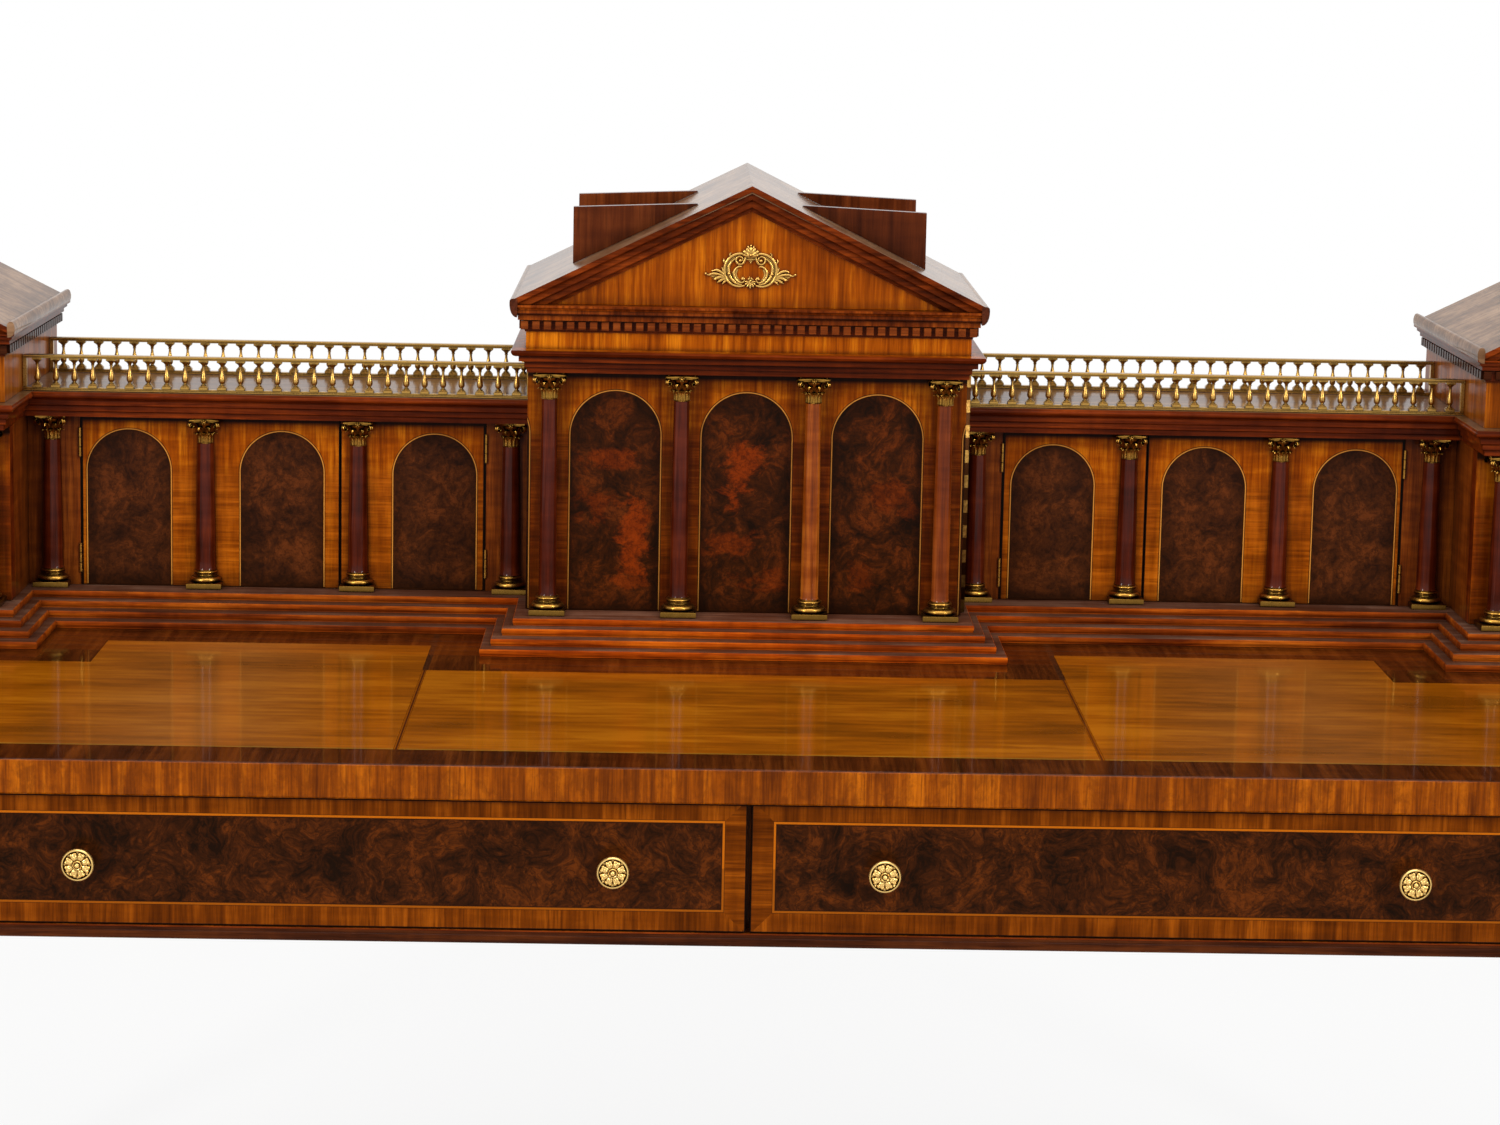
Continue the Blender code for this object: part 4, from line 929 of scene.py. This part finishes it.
def build_centre_entablature():
    shape = Shape()
    outline = rectangle(-CENTRE_HALF, CENTRE_HALF, PORTICO_FRIEZE, CENTRE_BACK)
    swept(shape, outline, lifted(CENTRE_PROFILE, CENTRE_HEAD))
    # Frieze and corona veneers, and a painted shadow band under the drip.
    bands = ((CENTRE_HEAD + 0.0237, CENTRE_HEAD + 0.0413, FRIEZE_GOLD),
             (CENTRE_HEAD + 0.0533, CORNICE_TOP, CORONA),
             (CENTRE_HEAD + 0.0588, CENTRE_HEAD + 0.0608, DRIP_SHADE))
    material = moulding_wood("entablature_wood", RED, 0.1, bands)
    piece("centre_entablature_mouldings", shape, material, ("centre_entablature",), 28.0)
    teeth = Shape()
    low = CENTRE_HEAD + 0.0439
    high = CENTRE_HEAD + 0.0525
    reach = CENTRE_HALF + 0.0078
    inset = 0.0028
    out = 0.0048
    add_dentils(teeth, -reach, reach, PORTICO_FRIEZE - inset, low, high, -out, 40, 0)
    add_dentils(teeth, -reach, reach, CENTRE_BACK + inset, low, high, out, 40, 0)
    for side in (-1, 1):
        add_dentils(teeth, PORTICO_FRIEZE - 0.0030, CENTRE_BACK + 0.0030, side * (CENTRE_HALF + inset), low,
                    high, side * out, 27, 1)
    piece("centre_dentils", teeth, TOOTH_WOOD)


def build_roof(name, middle, half, bottom, front, back, wall_front, strips, profile):
    # Gable roof: two boards, a core behind the tympanum, raking mouldings and the side eaves.
    ridge = bottom + EAVE_HEIGHT + half * ROOF_SLOPE
    eaves = ridge - half * ROOF_SLOPE
    shape = Shape()
    line = [(middle - half, eaves), (middle, ridge), (middle + half, eaves)]
    for (x0, z0), (x1, z1) in zip(line, line[1:]):
        outline = [(x0, z0), (x1, z1), (x1, z1 - ROOF_BOARD), (x0, z0 - ROOF_BOARD)]
        shape.loft([[(x, y, max(z, bottom)) for x, z in outline] for y in (front + 0.0010, back)])
    inner = 0.0005
    wide = half - 0.010
    low = ridge - wide * ROOF_SLOPE - inner
    core = [(middle - wide, bottom), (middle + wide, bottom), (middle + wide, low), (middle, ridge - inner),
            (middle - wide, low)]
    shape.loft([[(x, y, max(z, bottom)) for x, z in core] for y in (wall_front + 0.0010, back - 0.0010)])
    piece(name + "_slopes", shape, ROOF, (name,), 30.0)

    strip = Shape()
    for side in (-1, 1):
        x0 = middle + side * (half - 0.0064)
        z0 = bottom + EAVE_HEIGHT + 0.0062
        strip.loft([[(x0 + side * out * MM, y, z0 + up * MM) for out, up in profile]
                    for y in (front - 0.0006, back)])
    piece(name + "_eave_strips", strip, strips, (), 50.0)

    # The raking mouldings run from the apex down to where they meet the horizontal cornice.
    rows = [(drop * MM, wall_front - (wall_front - front) * share) for drop, share in RAKE_STEPS]
    rows += [(drop * MM, wall_front + 0.004) for drop in (26.3, 0.4)]
    rake = Shape()
    for side in (-1, 1):
        feet = []
        for drop, y in rows:
            level = eaves - drop
            reach = half if level >= bottom else (ridge - drop - bottom) / ROOF_SLOPE
            feet.append((middle + side * reach, y, max(level, bottom)))
        rake.loft([feet, [(middle, y, ridge - drop) for drop, y in rows]])
    piece(name + "_rake", rake, RAKE_WOOD, (), 28.0)

    panel = Shape()
    apex = ridge - 25.0 * MM
    reach = (apex - bottom) / ROOF_SLOPE
    panel.loft([[(middle - reach, y, bottom), (middle + reach, y, bottom), (middle, y, apex)]
                for y in (wall_front - 0.0004, wall_front + 0.0020)])
    piece(name + "_tympanum", panel, TYMPANUM)


def build_cornices():
    for side, label in SIDES:
        inner = CENTRE_HALF + JOINT
        outline = [(inner, WING_FRIEZE), (END_INNER, WING_FRIEZE), (END_INNER, PORTICO_FRIEZE),
                   (END_OUTER, PORTICO_FRIEZE), (END_OUTER, END_BACK), (END_INNER, END_BACK),
                   (END_INNER, WING_BACK), (inner, WING_BACK)]
        if side < 0:
            outline = [(-x, y) for x, y in reversed(outline)]
        shape = Shape()
        swept(shape, outline, lifted(WING_PROFILE, WING_HEAD), [1] * 7 + [0])
        material = cornice_material(label + "_cornice_wood", 0.4 + side)
        piece(label + "_cornice_mouldings", shape, material, (label + "_cornice",), 28.0)


def build_ends():
    for side, label in SIDES:
        low, high = sorted((side * END_INNER, side * END_OUTER))
        wall = PORTICO_FRIEZE + 0.008
        bottom = DECK + JOINT
        shape = Shape()
        swept(shape, rectangle(low, high, wall, END_BACK), lifted(END_PROFILE, bottom))
        bands = ((bottom, bottom + 0.0462, ATTIC_GOLD),)
        material = moulding_wood(label + "_end_attic_wood", RED, 0.5 + side, bands)
        piece(label + "_end_attic", shape, material, (label + "_end_roof",), 28.0)
        teeth = Shape()
        inset = 0.0026
        out = 0.0036
        foot = bottom + 0.0492
        head = bottom + 0.0578
        for sign, depth in ((-1, wall), (1, END_BACK)):
            add_dentils(teeth, low - 0.006, high + 0.006, depth + sign * inset, foot, head, sign * out, 16, 0)
        for sign, depth in ((-1, low), (1, high)):
            add_dentils(teeth, wall - 0.003, END_BACK + 0.003, depth + sign * inset, foot, head, sign * out,
                        25, 1)
        piece(label + "_end_dentils", teeth, TRIM_WOOD)
        build_roof(label + "_end_roof", side * (END_INNER + END_OUTER) / 2,
                   (END_OUTER - END_INNER) / 2 + END_OVERHANG, bottom + 0.0695, wall - END_OVERHANG,
                   END_BACK + END_OVERHANG, wall, ROOF, END_EAVE)


# Galleries

BALUSTERS = 27
BALUSTER_HEIGHT = 30.7
BALUSTER_PROFILE = [
    (2.2, 4), (2.9, 4.6), (2.9, 5.3), (1.8, 5.8), (1.7, 6.5), (2.6, 7.5), (3.2, 9), (3.3, 10.6), (3, 13),
    (2.4, 15.6), (1.8, 17.8), (1.45, 19.8), (1.3, 21.6), (1.3, 23.4), (1.9, 23.7), (1.9, 24.3), (1.5, 24.6),
    (1.8, 25.6), (2.6, 26.8), (3.8, 27.8), (4.7, 28.4), (4.9, 28.9)]


def add_baluster(shape, x, y, foot, top):
    place = Matrix.Translation((x, y, foot))
    rise = (top - foot) / MM
    scale = rise / BALUSTER_HEIGHT
    shape.box(mm(-4.7, -4, 0), mm(4.7, 4, 3), 0.0004, place)
    shape.box(mm(-3.7, -3.3, 2.8), mm(3.7, 3.3, 4.3), 0.0004, place)
    shape.turned(lifted(BALUSTER_PROFILE, 0.0, scale), 12, place)
    shape.box(mm(-4.9, -3.6, 28.7 * scale), mm(4.9, 3.6, rise + 0.2), 0.0003, place)


def build_galleries():
    for label in ("left", "right"):
        for row in ("front", "rear"):
            node = label + "_gallery_" + row
            low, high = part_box(node)
            middle = (low.y + high.y) / 2
            rail = high.z - 0.0036
            # Foot strip, its fillet, the rail's fillet and the rail: half depth, levels and eased edge.
            strips = (
                (0.0044, low.z, low.z + 0.0016, 0.0004), (0.0036, low.z + 0.0014, low.z + 0.0032, 0.0004),
                (0.0036, rail, rail + 0.0014, 0.0003), (0.0042, rail + 0.0012, high.z, 0.0006))
            shape = Shape()
            for half, foot, head, ease in strips:
                shape.box((low.x, middle - half, foot), (high.x, middle + half, head), ease)
            for near, far in ((low.x, low.x + 0.0040), (high.x - 0.0040, high.x)):
                shape.box((near, middle - 0.0030, low.z + 0.0030), (far, middle + 0.0030, rail + 0.0004),
                          0.0004)
            pitch = (high.x - low.x - 0.010) / BALUSTERS
            for index in range(BALUSTERS):
                add_baluster(shape, low.x + 0.005 + (index + 0.5) * pitch, middle, low.z + 0.0030, rail)
            piece(node + "_rails", shape, BRASS_GALLERY, (node,), 35.0)


# The cartouche: strokes of (x, z, half width) in millimetres from its middle, for the right half

WEBS = (
    [(9, 12, 1.6), (16.5, 9.6, 2.6), (22.2, 3.4, 3.2), (23.4, -4.4, 3.6), (21.6, -11.6, 3.6),
     (16.2, -17.2, 3), (9, -19, 2.2)],
    [(13.4, -2.6, 1.6), (16.2, -7.6, 2.6), (14.4, -13.2, 2.6), (9.4, -17, 2)],
    [(25, -10, 2.6), (31, -10.4, 3.4), (37, -9.4, 2.4), (41, -8.6, 1)])
RIDGES = (
    [(4.6, 9.6, 1.2), (6.6, 11.6, 1.5), (10.7, 12.4, 1.6), (16.4, 11, 1.7), (21.6, 7.4, 1.8),
     (24.8, 2.2, 1.8), (25.8, -3.6, 1.7), (25, -9.6, 1.7), (22.2, -15.2, 1.7), (17.1, -19, 1.6),
     (11.4, -20.4, 1.4), (5.6, -19.4, 1.1)],
    [(14.8, 7.8, 0.8), (18.6, 4.8, 1.3), (21.6, -0.6, 1.6), (21.4, -7.4, 1.9), (18.6, -13, 1.9),
     (14, -17.2, 1.6), (8.6, -18.6, 1)],
    [(8.6, -0.4, 0.6), (11.2, -0.4, 1.3), (14.2, -2.2, 1.3), (16.4, -6.2, 1.4), (15.6, -11.4, 1.6),
     (12.2, -15.4, 1.5), (8.6, -16.4, 1.3), (6.2, -14.8, 1.1), (6.4, -12.2, 1.1), (8.4, -11.4, 1.1)],
    [(5, 10.6, 1.1), (5.6, 6.8, 1.3), (7.4, 3, 1.3), (11, 1.8, 1.3), (14.2, 4.2, 1.3), (14, 8, 1.2),
     (11, 9.8, 1.1), (8.2, 8.2, 1), (8.4, 5.6, 1.1), (10.8, 5.2, 1.4)],
    [(24.6, -8.6, 1.2), (26.8, -5, 1.4), (28.4, -1.2, 0.6)],
    [(25.6, -9.4, 1.4), (29.6, -6, 1.7), (34.4, -4.4, 1.6), (38.6, -5.4, 0.7)],
    [(26, -10.6, 1.4), (31.6, -8.6, 1.7), (37.4, -8, 1.6), (41.8, -9.4, 1), (44.2, -8.2, 1.2)],
    [(25.4, -11.8, 1.4), (30, -11.4, 1.7), (34.6, -12.8, 2.1), (37.4, -13.4, 0.9)],
    [(24.6, -13, 1.4), (28, -13.8, 1.7), (31, -15.6, 1.8), (33, -17, 0.8)],
    [(23.6, -14.4, 1.3), (25.8, -16, 1.5), (27.8, -18.2, 0.8)],
    [(25.6, 2.8, 0.9), (27, 5, 0.9), (26.6, 7.2, 0.4)],
    [(20.4, 9.4, 0.9), (20.8, 11.8, 0.8), (19.4, 13.4, 0.4)])
BEADS = ((44.4, -7.9, 1.4), (35, -13.2, 2), (10.4, 5.6, 1.8), (8, -12.6, 1.6), (21.4, -7.6, 1.9))
# Leaf shells at the top and the foot: their level, then each lobe's (angle, length, half width).
FANS = (
    (9.6, (0, 9.8, 2.2), (27, 9.6, 2.1), (52, 9.8, 2.1), (76, 8, 1.8)),
    (-14.8, (180, 7.8, 1.3), (152, 7.2, 1.3), (125, 6.6, 1.2), (98, 5.4, 1)),
    (12.2, (0, 9.2, 1.3), (20, 8.6, 1.2)),
    (-14.2, (20, 3.4, 0.9), (55, 3.2, 0.9)))
LOBE_SHARES = ((0.0, 0.45), (0.3, 0.75), (0.65, 1.0), (0.9, 0.85), (1.03, 0.35))
COLLARS = ((8.4, 4.6, 0.9), (6.4, 4.2, 0.9), (4.8, 1.6, 0.8))
MIDDLE_BEADS = ((20.8, 1.2), (3.6, 0.9), (-14.6, 1.5), (11.2, 1.8))


def build_cartouche():
    low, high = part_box("cartouche")
    level = (low.z + high.z) / 2 / MM
    plane = high.y - 0.0008
    shape = Shape()

    def stroke(points, mirror=1, lift=0.0, depth=0.9):
        curve = smooth_path([(x, z + level, r) for x, z, r in points], 5)
        path = [(mirror * x * MM, plane - lift * MM, z * MM) for x, z, _ in curve]
        sizes = [(max(r, 0.25) * MM, max(r, 0.25) * depth * MM) for _, _, r in curve]
        shape.tube(path, sizes, (0.0, 1.0, 0.0), 8)

    def bead(x, forward, z, r):
        shape.ball((x * MM, plane - forward, (level + z) * MM), cube(r * MM), 7, 12)

    for mirror in (1, -1):
        for points in WEBS:
            stroke(points, mirror, -0.2, 0.3)
        for points in RIDGES:
            stroke(points, mirror, 0.4)
        for x, z, r in BEADS:
            bead(mirror * x, 0.0012, z, r)
    for base, *lobes in FANS:
        for angle, length, width in lobes:
            for sign in ((1,) if angle in (0, 180) else (-1, 1)):
                turn = math.radians(angle * sign)
                lobe = [(length * share, width * size) for share, size in LOBE_SHARES]
                points = [(far * math.sin(turn), base + far * math.cos(turn), r) for far, r in lobe]
                stroke(points, 1, 0.9)
    for z, wide, r in COLLARS:
        stroke([(-wide, z + 0.5, r * 0.6), (0.0, z, r), (wide, z + 0.5, r * 0.6)], 1, 0.6)
    for z, r in MIDDLE_BEADS:
        bead(0.0, 0.0016, z, r)
    piece("cartouche_ornament", shape, BRASS_ORNAMENT, ("cartouche",), 60.0)


# Knobs and hinges

# The knob's stem, cup and rolled rim, and the rosette's middle, from the drawer outwards.
KNOB_PROFILE = [
    (8.2, 0), (8.2, 1.2), (6.4, 2.4), (5.4, 4.6), (5.4, 9), (8.2, 12), (12.4, 14.4), (14.2, 16.6),
    (14.5, 18.4), (14.2, 19.8), (13.4, 20.6), (12.6, 20.4), (12.2, 19.4), (12, 18.6), (11.4, 18.2), (2, 18.2)]
BOSS_PROFILE = [(4.4, 17), (4.4, 20.4), (3.6, 21.2), (2.8, 20.8), (2.6, 20.4), (0.4, 20.4)]
# Balls that make up one petal: middle, radii, rows and sides.
PETAL_BALLS = (
    ((7.2, 0, 18.4), (4.2, 3.3, 2.5), 8, 12), ((9.6, 1.6, 19), (1.8, 1.7, 1.8), 6, 8),
    ((9.6, -1.6, 19), (1.8, 1.7, 1.8), 6, 8), ((6.8, 0, 20.2), (2.4, 1.1, 1.2), 6, 8))
PETALS = 8


def build_knobs():
    for node in ("knob_left_outer", "knob_left_inner", "knob_right_inner", "knob_right_outer"):
        low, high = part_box(node)
        place = Matrix.Translation(((low.x + high.x) / 2, high.y, (low.z + high.z) / 2))
        place = place @ Matrix.Rotation(math.pi / 2, 4, "X")
        shape = Shape()
        shape.turned(lifted(KNOB_PROFILE), 40, place)
        for index in range(PETALS):
            turned = place @ Matrix.Rotation(2 * math.pi * (index + 0.5) / PETALS, 4, "Z")
            for middle, radii, rows, sides in PETAL_BALLS:
                shape.ball(mm(*middle), mm(*radii), rows, sides, turned)
        shape.turned(lifted(BOSS_PROFILE), 20, place)
        shape.ball(mm(0, 0, 20.6), mm(2.3, 2.3, 2.2), 8, 12, place)
        piece(node + "_rosette", shape, BRASS_KNOB, (node,), 50.0, BODIES[node])


def build_long_hinge():
    low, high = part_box("piano_hinge")
    radius = min(high.x - low.x, high.y - low.y) * 0.42
    knuckles = 19
    pitch = (high.z - low.z) / knuckles
    place = Matrix.Translation(((low.x + high.x) / 2, low.y + radius, 0.0))
    shape = Shape()
    for index in range(knuckles):
        foot = low.z + index * pitch + 0.0002
        head = foot + pitch - 0.0004
        wide = radius * (1.0 if index % 2 else 0.93)
        profile = [(wide * 0.8, foot), (wide, foot + 0.0004), (wide, head - 0.0004), (wide * 0.8, head)]
        shape.turned(profile, 14, place)
    shape.box((low.x + 0.0002, low.y + radius, low.z), (high.x - 0.0002, high.y, high.z), 0.0001)
    material = hinge_brass(low.z, pitch)
    piece("long_hinge", shape, material, ("piano_hinge",), 50.0, BODIES["piano_hinge"])


def build_hinges():
    # Small brass butt hinges at the outer edges of the wing doors, three knuckles each.
    profile = [(1.2, 0), (1.6, 0.3), (1.6, 9.6), (1.2, 9.9)]
    for side, label in SIDES:
        for place, x in (("inner", 0.26805), ("outer", 0.68835)):
            axis = Matrix.Translation((side * x, WING_FACE - 0.0008, 0.0))
            shape = Shape()
            for foot in (TREAD + 0.014, WING_HEAD - 0.044):
                for knuckle in range(3):
                    shape.turned(lifted(profile, foot + knuckle * 0.0101), 12, axis)
            piece(label + "_" + place + "_butt_hinges", shape, BRASS_CAPITAL, (), 50.0)


# Steps, apron moulding and legs

STEPS = 4
STEP_DEPTH = 0.0137
STEP_SIDE_SHARE = 0.75
STEP_MARGIN = 0.0106
APRON_PROFILE = [
    (-4, 0), (1.2, 0), (2.4, 0.8), (2.9, 2.4), (2.9, 5.2), (2.2, 6.8), (1, 7.6), (0.9, 8.6), (0.5, 9.8),
    (-0.4, 10.4), (-4, 10.4)]
COLLAR_HALF = 0.030
COLLAR_DROP = 0.030
SABOT_HALF = 0.017
SABOT_PROFILE = [(1.6, 0), (2.6, 1.2), (2.6, 3), (1.3, 4), (2.2, 40), (3.4, 41.2), (3.6, 43.6), (2, 45)]


def build_steps():
    low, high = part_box("steps_platform")
    rise = (high.z - low.z) / STEPS
    front = low.y + (STEPS - 1) * STEP_DEPTH
    wing = front + 0.103
    inner = END_INNER - STEP_MARGIN
    outer = END_OUTER + STEP_MARGIN
    centre = CENTRE_HALF + STEP_MARGIN
    right = [(centre, front), (centre, wing), (inner, wing), (inner, front), (outer, front)]
    outline = right + [(outer, high.y), (-outer, high.y)] + [(-x, y) for x, y in reversed(right)]
    # The treads are narrower at the returns, and the back is flat.
    skirts = [STEP_SIDE_SHARE, 1] * 6
    skirts[5] = 0
    profile = []
    for step in range(STEPS):
        projection = (STEPS - 1 - step) * STEP_DEPTH
        bottom = low.z + step * rise
        profile += [(projection - 0.0008, bottom), (projection - 0.0008, bottom + 0.0012),
                    (projection - 0.0002, bottom + 0.0020), (projection, bottom + 0.0034),
                    (projection, bottom + rise - 0.0018), (projection - 0.0004, bottom + rise - 0.0007),
                    (projection - 0.0014, bottom + rise)]
    shape = Shape()
    swept(shape, outline, profile, skirts)
    piece("steps", shape, steps_material(), ("steps_platform",), 35.0)


def build_apron_trim():
    shape = Shape()
    outline = rectangle(-APRON_HALF, APRON_HALF, APRON_FRONT, APRON_BACK)
    swept(shape, outline, lifted(APRON_PROFILE, APRON_BOTTOM), None, True)
    piece("apron_moulding", shape, TRIM_WOOD, (), 35.0)


def build_leg_fittings():
    narrow = -0.013 * (COLLAR_DROP / APRON_BOTTOM)
    level = APRON_BOTTOM - COLLAR_DROP
    for node in ("leg_front_left", "leg_front_right", "leg_rear_left", "leg_rear_right"):
        low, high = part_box(node)
        x = (low.x + high.x) / 2
        y = (low.y + high.y) / 2
        collar = Shape()
        swept(collar, rectangle(x - COLLAR_HALF, x + COLLAR_HALF, y - COLLAR_HALF, y + COLLAR_HALF),
              [(narrow, level), (narrow + 0.0018, level + 0.0010), (narrow + 0.0030, level + 0.0034),
               (narrow + 0.0018, level + 0.0058), (narrow + 0.0002, level + 0.0068)])
        piece(node + "_collar", collar, RAKE_WOOD, (), 60.0)
        cap = Shape()
        swept(cap, rectangle(x - SABOT_HALF, x + SABOT_HALF, y - SABOT_HALF, y + SABOT_HALF),
              lifted(SABOT_PROFILE))
        piece(node + "_sabot", cap, BRASS, (), 50.0)


# The whole part

FLAMES = [
    (-0.112, TREAD + 0.078, 0.015, 0.036, 0.9), (-0.136, TREAD + 0.156, 0.030, 0.012, 0.5),
    (-0.118, TREAD + 0.030, 0.020, 0.006, 0.5), (-0.150, TREAD + 0.110, 0.020, 0.018, 0.4),
    (-0.004, TREAD + 0.150, 0.018, 0.032, 0.9), (-0.020, TREAD + 0.070, 0.030, 0.014, 0.45),
    (0.018, TREAD + 0.034, 0.026, 0.012, 0.4), (0.150, TREAD + 0.120, 0.022, 0.020, 0.35),
    (0.118, TREAD + 0.040, 0.020, 0.016, 0.3)]


def dress_nodes():
    dress("apron_frame", apron_material())
    for name in NODES:
        if name.startswith("leg_"):
            dress(name, LEG_WOOD)
        if name.startswith("attic_board"):
            dress(name, plain_wood(name + "_wood", BOARD_BROWN, 2, len(name) * 0.37, 0.26, 0.7, 0.12, 110.0))
        if name.endswith("_carcase"):
            dress(name, CARCASE)
    dress("desk_top", top_material())
    for label, shift in (("centre", 0.0), ("left", 2.0), ("right", 5.0)):
        dress("leather_" + label, leather_material("leather_skin_" + label, shift))
    for side, label in SIDES:
        dress("drawer_" + label, drawer_material(side, label))
    # Heads: the doors' upper edge, and how far below it the painted gap and its shadow reach.
    centre_head = (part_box("centre_door")[1].z, 0.0060, 0.0096)
    wing_head = (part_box("right_wing_inner_door")[1].z, 0.0040, 0.0076)
    end_head = (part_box("right_end_door")[1].z, 0.0060, 0.0096)
    seams = (WING_DOORS_INNER + 0.001, DOOR_SPLIT, WING_DOORS_OUTER - 0.001)
    dress("centre_door", door_material(
        "centre_door_veneer", CENTRE_BAY, 0.0, CENTRE_ARCH_HALF, CENTRE_ARCH_TOP,
        PORTICO_FACE, centre_head, 0.0, 0.9, STILE, 0.6, FLAMES))
    for side, label in SIDES:
        material = door_material(
            label + "_wing_veneer", WING_BAY, FIRST_WING_ARCH, WING_ARCH_HALF, WING_ARCH_TOP,
            WING_FACE, wing_head, 4.0 + side, 0.75, WING_STILE, 0.45, (), seams)
        dress(label + "_wing_inner_door", material)
        dress(label + "_wing_outer_door", material)
        dress(label + "_end_door", door_material(
            label + "_end_veneer", END_BAY, (END_INNER + END_OUTER) / 2, WING_ARCH_HALF, WING_ARCH_TOP,
            PORTICO_FACE, end_head, 9.0 + side, 0.8, STILE, 0.45))


dress_nodes()
build_columns()
build_centre_entablature()
build_roof("centre_roof", 0.0, CENTRE_HALF + CENTRE_OVERHANG, CORNICE_TOP + JOINT,
           PORTICO_FRIEZE - CENTRE_OVERHANG, CENTRE_BACK + CENTRE_OVERHANG, PORTICO_FRIEZE, eave_material(),
           CENTRE_EAVE)
build_cornices()
build_ends()
build_galleries()
build_cartouche()
build_knobs()
build_long_hinge()
build_hinges()
build_steps()
build_apron_trim()
build_leg_fittings()


# Floor, light and camera

def build_stage():
    mesh = bpy.data.meshes.new("floor")
    mesh.from_pydata([(x, y, 0.0) for x, y in rectangle(-5.0, 5.0, -5.0, 3.2)], [], [(0, 1, 2, 3)])
    floor = bpy.data.objects.new("floor", mesh)
    bpy.context.scene.collection.objects.link(floor)
    material = bpy.data.materials.new("floor_paper")
    material.use_nodes = True
    graph = Graph(material.node_tree)
    shader = graph.tree.nodes["Principled BSDF"]
    for key, value in (("Base Color", (0.9, 0.9, 0.9, 1.0)), ("Roughness", 0.9), ("Specular IOR Level", 0.1)):
        shader.inputs[key].default_value = value
    # Seen straight on, the paper is partly its own white, and it keeps the desk's shadow.
    paper = graph.node("ShaderNodeEmission").outputs[0]
    share = graph.times(graph.node("ShaderNodeLightPath").outputs["Is Camera Ray"], 0.85)
    mixed = graph.node("ShaderNodeMixShader", {0: share, 1: shader.outputs[0], 2: paper}).outputs[0]
    graph.feed(graph.tree.nodes["Material Output"].inputs[0], mixed)
    mesh.materials.append(material)


def build_world(level):
    world = bpy.data.worlds.new("studio")
    bpy.context.scene.world = world
    world.use_nodes = True
    graph = Graph(world.node_tree)
    graph.tree.nodes.clear()
    plain = graph.node("ShaderNodeBackground", {0: (1.0, 0.99, 0.97, 1.0), 1: level}).outputs[0]
    white = graph.node("ShaderNodeBackground", {0: (1.0, 1.0, 1.0, 1.0), 1: 1.0}).outputs[0]
    rays = graph.node("ShaderNodeLightPath").outputs
    seen = graph.most(rays["Is Camera Ray"], rays["Is Glossy Ray"])
    seen = graph.most(seen, rays["Is Transmission Ray"])
    mixed = graph.node("ShaderNodeMixShader", {0: seen, 1: plain, 2: white}).outputs[0]
    graph.node("ShaderNodeOutputWorld", {0: mixed})


def add_lamp(name, place, target, size, power, colour=(1.0, 1.0, 1.0)):
    lamp = bpy.data.lights.new(name, "AREA")
    lamp.shape = "RECTANGLE"
    lamp.size, lamp.size_y = size
    lamp.energy = power
    lamp.color = colour
    thing = bpy.data.objects.new(name, lamp)
    bpy.context.scene.collection.objects.link(thing)
    thing.location = place
    thing.rotation_euler = (Vector(target) - Vector(place)).to_track_quat("-Z", "Y").to_euler()


def build_camera():
    # Solved from the desk's own lines in the photograph; the focal length is in its pixels.
    pitch = math.radians(8.204)
    yaw = math.radians(-1.083)
    roll = math.radians(1.152)
    place = (-0.0606, -3.24535, 1.4921)
    focal_pixels = 3362.1
    photo_width = 1500
    ahead = Vector((-math.sin(yaw) * math.cos(pitch), math.cos(yaw) * math.cos(pitch), -math.sin(pitch)))
    right = Vector((math.cos(yaw), math.sin(yaw), 0.0))
    above = right.cross(ahead)
    camera_x = right * math.cos(roll) + above * math.sin(roll)
    camera_y = above * math.cos(roll) - right * math.sin(roll)
    data = bpy.data.cameras.new("camera")
    data.sensor_width = 36.0
    data.lens = focal_pixels / photo_width * data.sensor_width
    data.shift_y = -0.1
    data.clip_end = 60.0
    camera = bpy.data.objects.new("camera", data)
    bpy.context.scene.collection.objects.link(camera)
    turn = Matrix((camera_x, camera_y, -ahead)).transposed().to_4x4()
    camera.matrix_world = Matrix.Translation(place) @ turn
    bpy.context.scene.camera = camera


build_stage()
build_world(0.55)
add_lamp("left_softbox", (-2.3, -2.6, 2.3), (-0.1, 0.0, 0.9), (0.45, 1.4), 58.0, (1.0, 0.98, 0.95))
add_lamp("right_softbox", (2.5, -2.5, 2.4), (0.1, 0.0, 0.9), (0.45, 1.4), 58.0, (1.0, 0.98, 0.95))
add_lamp("overhead", (0.0, -0.8, 3.2), (0.0, 0.0, 0.9), (2.4, 1.6), 40.0)
build_camera()
bpy.context.scene.view_settings.view_transform = "Standard"
